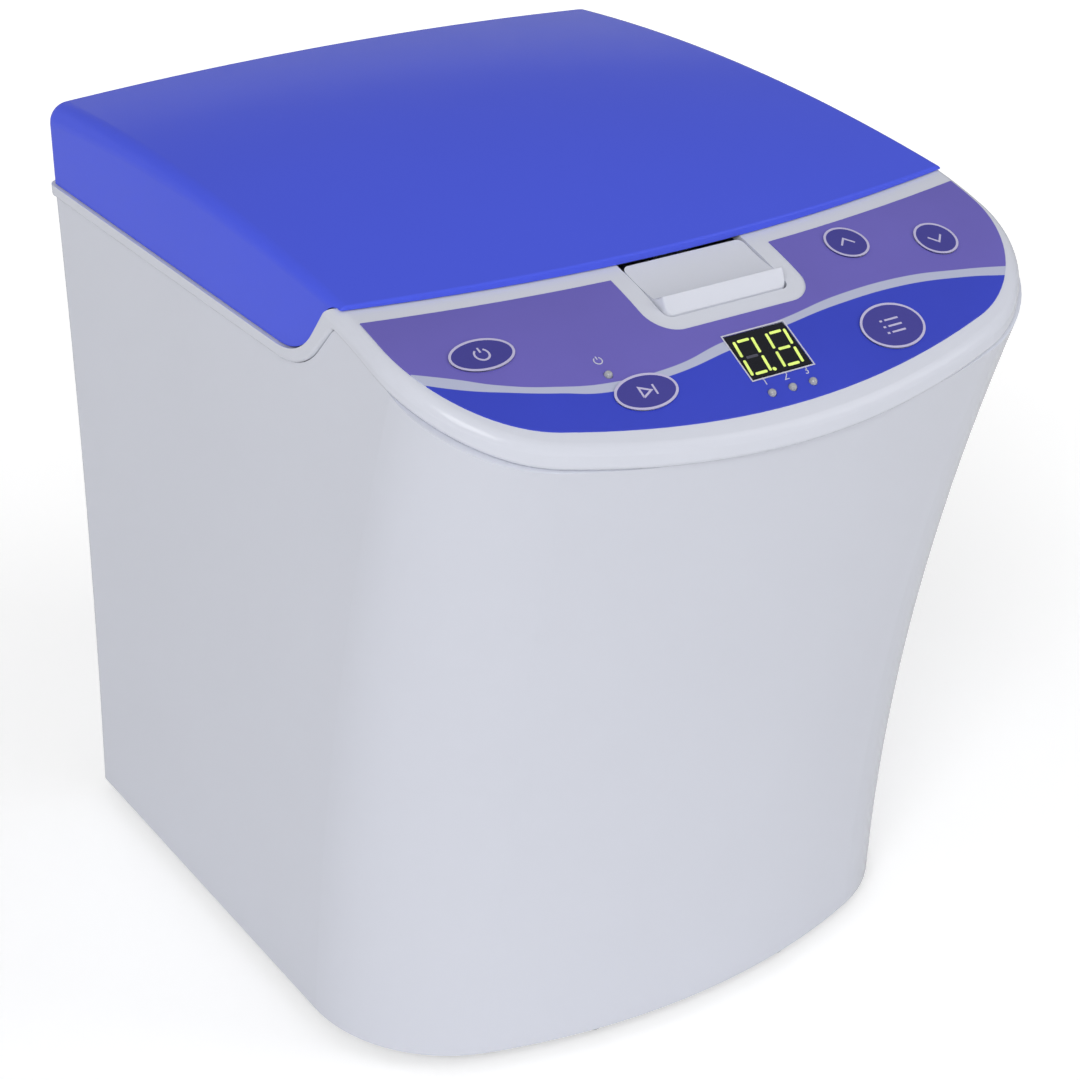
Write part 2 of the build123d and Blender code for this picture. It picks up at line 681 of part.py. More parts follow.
def along_y(x, z, y0, y1, radius):
    """A cylinder along Y."""
    return Pos(x, (y0 + y1) / 2, z) * Rot(90, 0, 0) * Cylinder(radius, y1 - y0)


def along_x(x0, x1, y, z, radius):
    """A cylinder along X."""
    return Pos((x0 + x1) / 2, y, z) * Rot(0, 90, 0) * Cylinder(radius, x1 - x0)


def rounded_plate(half, front, rear, radius, z, thickness):
    """A plate with rounded corners."""
    sketch = RectangleRounded(2 * half, rear - front, radius)
    return Pos(0, (front + rear) / 2, z) * extrude(sketch, amount=thickness)


def rim_outline(inset, z):
    """The frame's outline in plan, drawn in by inset."""
    return d_outline(
        RIM_HALF_WIDTH - inset,
        REAR_Y - inset,
        RIM_FRONT_Y + inset,
        RIM_FRONT_R - inset,
        RIM_CORNER_R - inset,
        max(REAR_CORNER_R - inset, 1.0),
        z,
    )


def panel_rim_edges(solid):
    """Edges where the panel's cylinder meets the outer wall."""
    chosen = []
    for edge in solid.edges():
        middle = edge @ 0.5
        if middle.Y > CREST_Y - 0.5:
            continue
        if abs(middle.Z - panel_height(middle.Y)) > 0.05:
            continue
        chosen.append(edge)
    return chosen


def lower_wall_edges(solid):
    """Edges between the outer wall and the underside."""
    found = {}
    for face in solid.faces():
        if face.normal_at().Z > -0.1:
            continue
        for edge in face.edges():
            middle = edge @ 0.5
            key = (round(middle.X, 2), round(middle.Y, 2), round(middle.Z, 2))
            found.setdefault(key, []).append(edge)
    return [edges[0] for edges in found.values() if len(edges) == 1]


def frame_blank():
    """Band, lobe, crest and panel with the rounded bead, still solid."""
    low = PARTING_Z - 60
    blank = upright(rim_outline(0, low), SHELL_TOP_Z - low)
    blank = blank & seat_block(0) & parting_block(SEAM, FRONT_SEAM)
    blank = fillet(panel_rim_edges(blank), RIM_TOP_ROUND)
    blank = fillet(lower_wall_edges(blank), RIM_LOW_ROUND)
    return blank


def inner_skirt():
    """Ledge and skirt of the frame inside the shell, behind the panel."""
    clear = WALL + SHELL_GAP
    low = TUB_FLANGE_Z - TUB_FLANGE_T - LEDGE_T
    skirt = rounded_plate(
        WAIST_HALF_WIDTH - clear,
        OPENING_FRONT_Y - WALL,
        REAR_Y - clear,
        REAR_CORNER_R,
        low,
        PARTING_Z + 2 - low,
    )
    return skirt


def top_frame():
    """White top moulding."""
    low = PARTING_Z - 70
    hollow = upright(rim_outline(FRAME_WALL, low), SHELL_TOP_Z - low)
    front = box(-200, 200, RIM_FRONT_Y, OPENING_FRONT_Y - WALL, low, SHELL_TOP_Z)
    frame = frame_blank() - (hollow & front & seat_block(-WALL))
    frame = frame + inner_skirt()
    frame = frame - rounded_plate(
        OPENING_HALF_WIDTH,
        OPENING_FRONT_Y,
        OPENING_REAR_Y,
        OPENING_CORNER_R,
        TUB_FLANGE_Z - TUB_FLANGE_T,
        60,
    )
    frame = frame - rounded_plate(
        OPENING_HALF_WIDTH - LEDGE,
        OPENING_FRONT_Y + LEDGE,
        OPENING_REAR_Y - LEDGE,
        OPENING_CORNER_R - LEDGE,
        TUB_FLANGE_Z - 40,
        100,
    )
    frame = frame - button_opening()
    frame = frame - display_cutter(DISPLAY_GAP)
    for x, y in led_places():
        frame = frame - on_panel(x, y) * Cylinder(LED_R + LED_GAP, 30)
    for x, y, a, b in KEYS.values():
        frame = frame - on_panel(x, y) * Cylinder(STEM_R + GUIDE_FIT, 30)
        frame = frame - key_disc(x, y, a + KEY_GAP, b + KEY_GAP, -KEY_POCKET, 5)
    for u, v in BOARD_BOSSES:
        frame = frame + board_boss(u, v)
    for x in (-BRACKET_BOSS_X, BRACKET_BOSS_X):
        boss = rod(x, GUIDE_Y, PLATE_Z + PLATE_T, SHELL_TOP_Z, BOSS_OUTER_R)
        frame = frame + (boss & panel_block(WALL / 2))
        frame = frame - rod(x, GUIDE_Y, PLATE_Z, PLATE_Z + PLATE_T + SCREW_BITE, SCREW_R)
    return frame


def button_opening():
    """The opening for the button, which runs back under the lid's edge."""
    half = BUTTON_HALF_WIDTH + BUTTON_GAP
    rear = STRIKER_Y + STRIKER_T + STRIKER_SWING
    opening = box(-half, half, BUTTON_FRONT_Y - BUTTON_GAP, rear, PARTING_Z - 20, SHELL_TOP_Z)
    front_edges = opening.edges().filter_by(Axis.Z).sort_by(Axis.Y)[:2]
    return fillet(front_edges, BUTTON_CORNER_R + BUTTON_GAP)


def display_cutter(gap):
    """A tall box over the display's place, widened by gap."""
    size = (DISPLAY_WIDTH + 2 * gap, DISPLAY_HEIGHT + 2 * gap, 30)
    return on_panel(0, DISPLAY_Y) * Box(*size)


def key_disc(x, y, a, b, low, high):
    """An elliptic disc on the panel between two heights over it."""
    return on_panel(x, y, low) * extrude(Ellipse(a, b), amount=high - low)


def led_places():
    """Middle of each indicator lamp in plan."""
    row = [(i * LED_PITCH, LED_Y) for i in (-1, 0, 1)]
    return row + [POWER_LED]


def on_board(u, v, lift=0.0):
    """A place on the control board, whose local Z is the board's normal."""
    return on_panel(0, BOARD_Y, -BOARD_DEPTH) * Pos(u, v, lift)


def board_space():
    """The space under the control board's upper face."""
    return on_board(0, 0, -20) * Box(300, 120, 40)


def board_top(y):
    """Depth of the control board under the panel, along the normal at y."""
    turn = panel_slope(y) - panel_slope(BOARD_Y)
    return PANEL_R - (PANEL_R - BOARD_DEPTH) / math.cos(turn)


def board_boss(u, v):
    """A boss of the frame that carries the control board."""
    boss = on_board(u, v, 10) * Cylinder(BOSS_OUTER_R, 20)
    hole = on_board(u, v, 0) * Cylinder(SCREW_R, 2 * SCREW_BITE)
    return (boss & panel_block(WALL / 2)) - hole


# ---------------------------------------------------------------- lid
def lid_section(y, inset, low):
    """Cross-section of the lid: upright sides, rounded edges and a crowned top."""
    half = LID_HALF_WIDTH - inset
    front = PANEL_BACK_Y - LID_BOW - LID_OVER
    share = (LID_REAR_Y - y) / (LID_REAR_Y - front)
    crown = LID_CROWN_REAR + (LID_CROWN_FRONT - LID_CROWN_REAR) * share**2
    edge_r = LID_SIDE_REAR_R + (LID_SIDE_FRONT_R - LID_SIDE_REAR_R) * share - inset
    top_r = (LID_HALF_WIDTH**2 + crown**2) / (2 * crown)
    side = LID_PEAK_Z - (y - LID_PEAK_Y) ** 2 / (2 * LID_TOP_R)
    centre = side + crown - top_r
    top_r = top_r - inset
    x = half - edge_r
    z = centre + math.sqrt((top_r - edge_r) ** 2 - x**2)
    lean = math.atan2(z - centre, x)
    touch_x = top_r * math.cos(lean)
    touch_z = centre + top_r * math.sin(lean)
    middle_x = x + edge_r * math.cos(lean / 2)
    middle_z = z + edge_r * math.sin(lean / 2)
    edges = [
        Line((-half, y, low), (-half, y, z)),
        ThreePointArc((-half, y, z), (-middle_x, y, middle_z), (-touch_x, y, touch_z)),
        ThreePointArc((-touch_x, y, touch_z), (0, y, centre + top_r), (touch_x, y, touch_z)),
        ThreePointArc((touch_x, y, touch_z), (middle_x, y, middle_z), (half, y, z)),
        Line((half, y, z), (half, y, low)),
        Line((half, y, low), (-half, y, low)),
    ]
    return make_face(edges)


def lid_form(inset, low):
    """The lid's solid form, drawn in by inset, down to a height."""
    rear = LID_REAR_Y - inset
    front = PANEL_BACK_Y - LID_BOW - LID_OVER
    count = 6
    form = loft([lid_section(rear + (front - rear) * i / count, inset, low) for i in range(count + 1)])
    rear_edges = form.faces().sort_by(Axis.Y)[-1].edges()
    form = fillet([e for e in rear_edges if (e @ 0.5).Z > low + 1], LID_REAR_R - inset)
    bow_r = (LID_HALF_WIDTH**2 + LID_BOW**2) / (2 * LID_BOW)
    kept = rod(0, PANEL_BACK_Y - LID_BOW + bow_r, low - 1, SHELL_TOP_Z + 20, bow_r - inset)
    return form & kept


def lid_shell():
    """Blue lid, a thin crowned shell with side skirts."""
    low = SEAT_Z - 10
    blank = lid_form(0, low)
    front = [e for e in blank.edges() if (e @ 0.5).Y < PANEL_BACK_Y and not vertical(e)]
    blank = fillet([e for e in front if (e @ 0.5).Z > low + 1], LID_FRONT_R)
    lid = blank - lid_form(LID_WALL, low - 1) - seat_block(LID_GAP)
    ribs = lid_form(LID_WALL / 2, low)
    for x, y in LINER_SCREWS:
        boss = rod(x, y, LINER_Z + LINER_T, SHELL_TOP_Z + 20, BOSS_OUTER_R)
        lid = lid + (boss & ribs)
        lid = lid - rod(x, y, LINER_Z, LINER_Z + LINER_T + SCREW_BITE, SCREW_R)
    for x, z in hinge_screw_places(LEAF_RISE):
        lid = lid - along_y(x, z, LID_REAR_Y - LID_WALL - 1, LID_REAR_Y + 1, SCREW_R)
    return lid


def vertical(edge):
    """True for an upright edge."""
    a, b = edge @ 0, edge @ 1
    return math.hypot(a.X - b.X, a.Y - b.Y) < 0.01 and abs(a.Z - b.Z) > 1


def lid_liner():
    """Flat inner panel of the lid."""
    liner = rounded_plate(
        OPENING_HALF_WIDTH - LINER_MARGIN,
        OPENING_FRONT_Y + LINER_MARGIN,
        OPENING_REAR_Y - LINER_MARGIN,
        OPENING_CORNER_R - LINER_MARGIN,
        LINER_Z,
        LINER_T,
    )
    for x, y in LINER_SCREWS:
        liner = liner - rod(x, y, LINER_Z - 1, LINER_Z + LINER_T + 1, SCREW_R)
    return liner


def lid_seal():
    """Ring seal between the liner and the tub's flange."""
    return tube(0, ROTOR_Y, TUB_FLANGE_Z + SEAL_GAP, LINER_Z, SEAL_R + SEAL_WIDTH, SEAL_R)


def screw_up(x, y, z, bite):
    """A screw driven upwards, with its head under height z."""
    return rod(x, y, z - HEAD_T, z, HEAD_R) + rod(x, y, z - HEAD_T, z + bite, SCREW_R)


def screw_down(x, y, z, bite):
    """A screw driven downwards, with its head on height z."""
    return rod(x, y, z, z + HEAD_T, HEAD_R) + rod(x, y, z - bite, z + HEAD_T, SCREW_R)


def liner_screws():
    bite = LINER_T + SCREW_BITE
    return [screw_up(x, y, LINER_Z, bite) for x, y in LINER_SCREWS]


def lid_striker():
    """Steel tongue behind the lid's front edge, with a tooth at its foot."""
    half = STRIKER_HALF_WIDTH
    tongue = box(-half, half, STRIKER_Y, STRIKER_Y + STRIKER_T, STRIKER_LOW_Z, SHELL_TOP_Z)
    tooth_top = STRIKER_LOW_Z + STRIKER_T
    tooth = box(-half, half, STRIKER_FRONT_Y, STRIKER_Y + 1, STRIKER_LOW_Z, tooth_top)
    return (tongue + tooth) & seat_block(LID_GAP)


# ---------------------------------------------------------------- hinges
HINGE_Y = REAR_Y + HINGE_SETBACK + KNUCKLE_R


def hinge_screw_places(rise):
    """X and Z of the leaf screws, above or below the hinge axis."""
    places = []
    for side in (-HINGE_X, HINGE_X):
        for x in (-LEAF_SCREW_X, LEAF_SCREW_X):
            places.append((side + x, HINGE_Z + rise))
    return places


def frame_hinge(x):
    """Lower leaf with the middle knuckle."""
    half = HINGE_WIDTH / 2
    low = HINGE_Z - LEAF_HEIGHT
    top = HINGE_Z - KNUCKLE_R - KNUCKLE_GAP
    leaf = box(x - half, x + half, REAR_Y, REAR_Y + LEAF, low, top)
    neck = box(x - KNUCKLE_MIDDLE, x + KNUCKLE_MIDDLE, REAR_Y, REAR_Y + LEAF, top - 1, HINGE_Z - 1)
    web = box(x - KNUCKLE_MIDDLE, x + KNUCKLE_MIDDLE, REAR_Y, HINGE_Y, HINGE_Z - 3, HINGE_Z - 1)
    knuckle = along_x(x - KNUCKLE_MIDDLE, x + KNUCKLE_MIDDLE, HINGE_Y, HINGE_Z, KNUCKLE_R)
    hinge = leaf + neck + web + knuckle
    hinge = hinge - along_x(x - half, x + half, HINGE_Y, HINGE_Z, HINGE_PIN_R)
    for place_x, z in hinge_screw_places(-LEAF_RISE):
        hinge = hinge - along_y(place_x, z, REAR_Y - 1, REAR_Y + LEAF + 1, SCREW_R)
    return hinge


def lid_hinge(x):
    """Upper leaf with the outer knuckles."""
    half = HINGE_WIDTH / 2
    top = HINGE_Z + LEAF_HEIGHT
    hinge = box(x - half, x + half, LID_REAR_Y, LID_REAR_Y + LEAF, LID_LEAF_Z, top)
    reach = KNUCKLE_MIDDLE + KNUCKLE_GAP
    for x0, x1 in ((x - half, x - reach), (x + reach, x + half)):
        hinge = hinge + along_x(x0, x1, HINGE_Y, HINGE_Z, KNUCKLE_R)
        hinge = hinge + box(x0, x1, REAR_Y + KNUCKLE_GAP, HINGE_Y, HINGE_Z, LID_LEAF_Z + LEAF)
        hinge = hinge + box(x0, x1, LID_REAR_Y, HINGE_Y, LID_LEAF_Z, LID_LEAF_Z + LEAF)
    hinge = hinge - along_x(x - half, x + half, HINGE_Y, HINGE_Z, HINGE_PIN_R + HINGE_FIT)
    for place_x, z in hinge_screw_places(LEAF_RISE):
        hinge = hinge - along_y(place_x, z, LID_REAR_Y - 1, LID_REAR_Y + LEAF + 1, SCREW_R)
    return hinge


def hinge_pin(x):
    half = HINGE_WIDTH / 2
    return along_x(x - half, x + half, HINGE_Y, HINGE_Z, HINGE_PIN_R)


def leaf_screws(face_y, rise):
    """Screws through the leaves on the rear faces."""
    screws = []
    for x, z in hinge_screw_places(rise):
        head = along_y(x, z, face_y + LEAF, face_y + LEAF + HEAD_T / 2, HEAD_R)
        shank = along_y(x, z, face_y - LID_WALL, face_y + LEAF + HEAD_T / 2, SCREW_R)
        screws.append(head + shank)
    return screws


# ---------------------------------------------------------------- film, keys, display
def film_outline(z):
    """The film's outline in plan."""
    front = d_outline(
        FILM_HALF_WIDTH,
        REAR_Y,
        FILM_FRONT_Y,
        FILM_FRONT_R,
        FILM_CORNER_R,
        REAR_CORNER_R,
        z,
    )
    return front


def panel_film():
    """Printed film on the panel, with a bay around the button."""
    low = PARTING_Z - 40
    film = upright(film_outline(low), SHELL_TOP_Z - low)
    behind = bowed_outline(FILM_HALF_WIDTH + 5, REAR_Y + 5, FILM_REAR_Y, FILM_BOW, 1.0, low)
    film = film - upright(behind, SHELL_TOP_Z - low)
    film = film & (panel_block(-FILM_T) - panel_block(0))
    bay = box(-BAY_HALF_WIDTH, BAY_HALF_WIDTH, BAY_FRONT_Y, 0, low, SHELL_TOP_Z)
    corners = bay.edges().filter_by(Axis.Z).sort_by(Axis.Y)[:2]
    film = film - fillet(corners, BAY_CORNER_R)
    film = film - display_cutter(DISPLAY_GAP)
    for x, y in led_places():
        film = film - on_panel(x, y) * Cylinder(LED_R + LED_GAP, 30)
    for x, y, a, b in KEYS.values():
        film = film - key_disc(x, y, a + KEY_GAP, b + KEY_GAP, -5, 5)
    return film


def key(name):
    """A domed key with its stem."""
    x, y, a, b = KEYS[name]
    top = FILM_T + KEY_PROUD
    cap = key_disc(x, y, a, b, top - KEY_T, top)
    cap = fillet(cap.edges().group_by(SortBy.LENGTH)[-1], KEY_EDGE_R)
    length = board_top(y) - KEY_SWITCH_HEIGHT - KEY_SWITCH_GAP - KEY_TRAVEL
    stem = on_panel(x, y, -length / 2) * Cylinder(STEM_R, length)
    return cap + stem


def display():
    """Two-digit display module on the control board."""
    size = (DISPLAY_WIDTH, DISPLAY_HEIGHT, DISPLAY_DEPTH)
    module = on_panel(0, DISPLAY_Y, FILM_T - DISPLAY_DEPTH / 2) * Box(*size)
    return module - board_space()


def led(x, y):
    """A small domed lamp that stands on the board."""
    length = board_top(y) + 3
    barrel = on_panel(x, y, FILM_T - length / 2) * Cylinder(LED_R, length)
    dome = on_panel(x, y, FILM_T) * Sphere(LED_R)
    return (barrel + dome) - board_space()


def control_board():
    """Board under the panel, notched around the button."""
    length = BOARD_BACK - BOARD_FRONT
    middle = (BOARD_BACK + BOARD_FRONT) / 2
    board = on_board(0, middle, -BOARD_T / 2) * Box(2 * BOARD_HALF_WIDTH, length, BOARD_T)
    low = PARTING_Z - 60
    board = board & upright(rim_outline(BOARD_MARGIN, low), SHELL_TOP_Z - low)
    half, front = BOARD_NOTCH
    board = board - box(-half, half, front, 0, low, SHELL_TOP_Z)
    for u, v in BOARD_BOSSES:
        board = board - on_board(u, v) * Cylinder(SCREW_R, 4 * BOARD_T)
    return board


def board_screws():
    screws = []
    for u, v in BOARD_BOSSES:
        head = on_board(u, v, -BOARD_T - HEAD_T / 2) * Cylinder(HEAD_R, HEAD_T)
        shank = on_board(u, v, (SCREW_BITE - BOARD_T) / 2 - 1) * Cylinder(SCREW_R, SCREW_BITE)
        screws.append(head + shank)
    return screws


def key_switches():
    """Short-travel switches under the keys."""
    switches = []
    for x, y, _, _ in KEYS.values():
        height = KEY_SWITCH_HEIGHT + 2
        lift = KEY_SWITCH_HEIGHT - board_top(y) - height / 2
        body = on_panel(x, y, lift) * Box(KEY_SWITCH, KEY_SWITCH, height)
        switches.append(body - board_space())
    return group(switches)


# ---------------------------------------------------------------- release button
BUTTON_LOW_Z = PLATE_Z + PLATE_T + BUTTON_TRAVEL + BUTTON_STOP_GAP


def button_profile(drop, low):
    """Side profile of the button's top, lowered by drop and cut off at low."""
    foot = panel_height(BUTTON_FRONT_Y)
    ridge_y = BUTTON_FRONT_Y + BUTTON_LEAN
    ridge_z = foot + BUTTON_RISE - drop
    deep_z = ridge_z - SCOOP_DEPTH
    rear_z = panel_height(BUTTON_REAR_Y) - drop
    first = yz((ridge_y + SCOOP_Y) / 2, deep_z + SCOOP_DEPTH / 3)
    second = yz((SCOOP_Y + BUTTON_REAR_Y) / 2, (deep_z + rear_z) / 2 - SCOOP_SAG)
    return [
        Line(yz(BUTTON_FRONT_Y, low), yz(BUTTON_FRONT_Y, foot - drop)),
        Line(yz(BUTTON_FRONT_Y, foot - drop), yz(ridge_y, ridge_z)),
        ThreePointArc(yz(ridge_y, ridge_z), first, yz(SCOOP_Y, deep_z)),
        ThreePointArc(yz(SCOOP_Y, deep_z), second, yz(BUTTON_REAR_Y, rear_z)),
        Line(yz(BUTTON_REAR_Y, rear_z), yz(BUTTON_REAR_Y, low)),
        Line(yz(BUTTON_REAR_Y, low), yz(BUTTON_FRONT_Y, low)),
    ]


def button_block(inset, drop, low, radius):
    """The button's body with rounded corners in plan, drawn in by inset."""
    half = BUTTON_HALF_WIDTH - inset
    front = BUTTON_FRONT_Y + inset
    rear = BUTTON_REAR_Y - inset
    plan = box(-half, half, front, rear, low - 1, SHELL_TOP_Z)
    plan = fillet(plan.edges().filter_by(Axis.Z), radius)
    return plan & block(half + 5, button_profile(drop, low))


def button_top_edges(button):
    """The edges of the button's ridge and of its two ends."""
    edges = []
    for edge in button.edges():
        middle = edge @ 0.5
        side = abs(middle.X) > BUTTON_HALF_WIDTH - 0.01
        ridge = abs(middle.Y - BUTTON_FRONT_Y - BUTTON_LEAN) < 0.01
        corner = abs(middle.X) > BUTTON_HALF_WIDTH - BUTTON_CORNER_R
        above = middle.Z > panel_height(middle.Y) + 0.5
        if above and not vertical(edge) and (side or ridge or corner):
            edges.append(edge)
    return edges


def release_button():
    """Pressed straight down to let the lid go."""
    button = button_block(0, 0, BUTTON_LOW_Z, BUTTON_CORNER_R)
    button = fillet(button_top_edges(button), BUTTON_EDGE_R)
    inner_r = BUTTON_CORNER_R - BUTTON_WALL
    button = button - button_block(BUTTON_WALL, BUTTON_WALL, BUTTON_LOW_Z - 2, inner_r)
    stem_top = panel_height(GUIDE_Y) - 1
    button = button + rod(0, GUIDE_Y, GUIDE_LOW_Z, stem_top, GUIDE_R)
    tip_low = PIVOT_Z + LEVER_ARM_TOP + GUIDE_TIP_GAP
    tip = rod(0, GUIDE_Y, tip_low, GUIDE_LOW_Z + 1, GUIDE_TIP_R)
    button = button + chamfer(tip.edges().sort_by(Axis.Z)[:1], GUIDE_TIP_CHAMFER)
    reach = BUTTON_HALF_WIDTH + LUG_REACH
    root = BUTTON_HALF_WIDTH - BUTTON_WALL / 2
    for low, high in [(-reach, -root), (root, reach)]:
        lug_top = LUG_LOW_Z + LUG_HEIGHT
        button = button + box(low, high, LUG_Y - 2, LUG_Y + 2, LUG_LOW_Z, lug_top)
    return button


def button_spring():
    """Coil spring round the stem, as a plain sleeve."""
    low = PLATE_Z + PLATE_T
    high = panel_height(SCOOP_Y) - BUTTON_WALL
    return tube(0, GUIDE_Y, low, high - SPRING_GAP, SPRING_OUTER_R, SPRING_INNER_R)


def latch_bracket():
    """Plate under the button with two ears for the lever's pin."""
    half = PLATE_HALF_WIDTH
    bracket = box(-half, half, PLATE_FRONT_Y, PLATE_REAR_Y, PLATE_Z, PLATE_Z + PLATE_T)
    reach = LEVER_HALF_WIDTH + EAR_GAP
    bracket = bracket - box(-reach, reach, NOTCH_Y, PLATE_REAR_Y + 1, PLATE_Z - 1, PLATE_Z + 5)
    bracket = bracket - rod(0, GUIDE_Y, PLATE_Z - 1, PLATE_Z + 5, GUIDE_R + GUIDE_FIT)
    for x0, x1 in ((-reach - EAR_T, -reach), (reach, reach + EAR_T)):
        bracket = bracket + box(x0, x1, EAR_FRONT_Y, EAR_REAR_Y, EAR_LOW_Z, PLATE_Z + 1)
    bracket = bracket - along_x(-20, 20, PIVOT_Y, PIVOT_Z, PIVOT_R)
    for x in (-BRACKET_BOSS_X, BRACKET_BOSS_X):
        bracket = bracket - rod(x, GUIDE_Y, PLATE_Z - 1, PLATE_Z + 5, SCREW_R)
    return bracket


def bracket_screws():
    bite = PLATE_T + SCREW_BITE
    places = (-BRACKET_BOSS_X, BRACKET_BOSS_X)
    return [screw_up(x, GUIDE_Y, PLATE_Z, bite) for x in places]


def latch_pin():
    reach = LEVER_HALF_WIDTH + EAR_GAP + EAR_T
    return along_x(-reach, reach, PIVOT_Y, PIVOT_Z, PIVOT_R)


def latch_lever():
    """Lever with a pressed arm at the front and a hook at the rear."""
    half = LEVER_HALF_WIDTH
    lever = along_x(-half, half, PIVOT_Y, PIVOT_Z, LEVER_HUB_R)
    top = PIVOT_Z + LEVER_ARM_TOP
    lever = lever + box(-half, half, LEVER_ARM_Y, PIVOT_Y, top - LEVER_ARM_T, top)
    lever = lever + box(-half, half, NECK_FRONT_Y, NECK_REAR_Y, PIVOT_Z, NOSE_Z + NOSE_T)
    lever = lever + box(-half, half, NECK_FRONT_Y, NOSE_Y, NOSE_Z, NOSE_Z + NOSE_T)
    return lever - along_x(-half - 1, half + 1, PIVOT_Y, PIVOT_Z, PIVOT_R + RUN_FIT)


# ---------------------------------------------------------------- mixing chamber
def mixing_tub():
    """Round chamber with a flange that lies on the frame's ledge."""
    outer = rod(0, ROTOR_Y, TUB_FLOOR_Z - TUB_WALL, TUB_FLANGE_Z, TUB_R + TUB_WALL)
    outer = fillet(outer.edges().sort_by(Axis.Z)[:1], TUB_ROUND + TUB_WALL)
    inner = rod(0, ROTOR_Y, TUB_FLOOR_Z, TUB_FLANGE_Z + 10, TUB_R)
    inner = fillet(inner.edges().sort_by(Axis.Z)[:1], TUB_ROUND)
    flange = rounded_plate(
        OPENING_HALF_WIDTH - FLANGE_GAP,
        OPENING_FRONT_Y + FLANGE_GAP,
        OPENING_REAR_Y - FLANGE_GAP,
        OPENING_CORNER_R - FLANGE_GAP,
        TUB_FLANGE_Z - TUB_FLANGE_T,
        TUB_FLANGE_T,
    )
    tub = (outer + flange) - inner
    tub = tub - rod(0, ROTOR_Y, TUB_FLOOR_Z - 9, TUB_FLOOR_Z + 9, NOSE_R + NOSE_GAP)
    for x, y in ring_places(TRACK_SCREW_AT, 45):
        tub = tub - rod(x, y, TUB_FLOOR_Z - 9, TUB_FLOOR_Z + 9, TRACK_SCREW_R)
    return tub


def ring_places(radius, start, y=ROTOR_Y):
    """Four places on a circle round an upright axis."""
    places = []
    for i in range(4):
        turn = math.radians(start + 90 * i)
        places.append((radius * math.cos(turn), y + radius * math.sin(turn)))
    return places


def track_radius(z):
    """Radius of the cone that the tyre rolls on."""
    tilt = math.radians(CUP_TILT)
    x = CUP_RADIUS_AT + TYRE_AT * math.sin(tilt) - (TYRE_R + TRACK_GAP) * math.cos(tilt)
    height = CUP_CENTRE_Z - TYRE_AT * math.cos(tilt) - (TYRE_R + TRACK_GAP) * math.sin(tilt)
    return x - (z - height) * math.tan(tilt)


def drive_track():
    """Fixed cone on the tub's floor that turns the cup's tyre."""
    height = TRACK_TOP_Z - TUB_FLOOR_Z
    cone = Cone(track_radius(TUB_FLOOR_Z), track_radius(TRACK_TOP_Z), height)
    track = Pos(0, ROTOR_Y, TUB_FLOOR_Z + height / 2) * cone
    track = track - rod(0, ROTOR_Y, TUB_FLOOR_Z - 1, TRACK_TOP_Z + 1, TRACK_BORE)
    for x, y in ring_places(TRACK_SCREW_AT, 45):
        track = track - rod(x, y, TUB_FLOOR_Z - 1, TRACK_TOP_Z + 1, TRACK_SCREW_R)
    return track


def track_screws():
    screws = []
    low = TUB_FLOOR_Z - TUB_WALL - FLANGE_T / 2
    for x, y in ring_places(TRACK_SCREW_AT, 45):
        head = rod(x, y, TRACK_TOP_Z, TRACK_TOP_Z + HEAD_T, HEAD_R)
        screws.append(head + rod(x, y, low, TRACK_TOP_Z + HEAD_T, TRACK_SCREW_R))
    return group(screws)


# ---------------------------------------------------------------- rotor and cup
def at_cup(along):
    """A place on the cup's axis, measured upwards from the cup's centre."""
    return Pos(CUP_RADIUS_AT, ROTOR_Y, CUP_CENTRE_Z) * Rot(0, -CUP_TILT, 0) * Pos(0, 0, along)


def cup_rod(low, high, radius):
    """A cylinder on the cup's axis."""
    return at_cup((low + high) / 2) * Cylinder(radius, high - low)


CUP_LOW = -CUP_HEIGHT / 2
HOLDER_LOW = CUP_LOW - HOLDER_FLOOR
BOSS_TOP = HOLDER_LOW - BOSS_GAP
BOSS_LOW = BOSS_TOP - BOSS_LENGTH


def rotor_arm():
    """Cast rotor: hub, yoke round the tyre, bearing boss, and the weight's beam."""
    top = HUB_LOW_Z + HUB_HEIGHT
    arm = rod(0, ROTOR_Y, HUB_LOW_Z, top, HUB_R)
    cross = box(-YOKE_REAR_X, YOKE_REAR_X, -YOKE_OUTER, YOKE_OUTER, HUB_LOW_Z, top)
    left = box(-YOKE_REAR_X, BRIDGE_X1, -YOKE_OUTER, -YOKE_INNER, HUB_LOW_Z, top)
    right = box(-YOKE_REAR_X, BRIDGE_X1, YOKE_INNER, YOKE_OUTER, HUB_LOW_Z, top)
    bridge = box(BRIDGE_X0, BRIDGE_X1, -YOKE_OUTER, YOKE_OUTER, HUB_LOW_Z, top)
    frame = Pos(0, ROTOR_Y, 0) * (cross + left + right + bridge)
    frame = fillet(frame.edges().filter_by(Axis.Z), YOKE_EDGE_R)
    beam_top = HUB_LOW_Z + BEAM_HEIGHT
    beam = box(-BEAM_END, 0, -BEAM_HALF_WIDTH, BEAM_HALF_WIDTH, HUB_LOW_Z, beam_top)
    arm = arm + frame + Pos(0, ROTOR_Y, 0) * beam
    arm = arm + cup_rod(BOSS_LOW, BOSS_TOP, BOSS_R)
    arm = arm - cup_rod(BOSS_LOW - 5, BOSS_TOP + 5, SPINDLE_R + RUN_FIT)
    arm = arm - cup_rod(BOSS_LOW - 12, BOSS_LOW, BOSS_R)
    arm = arm - rod(0, ROTOR_Y, HUB_LOW_Z - 1, top + 1, SHAFT_R)
    for x in WEIGHT_SCREWS:
        arm = arm - rod(-x, ROTOR_Y, HUB_LOW_Z - 1, beam_top + 1, SCREW_R)
    return arm


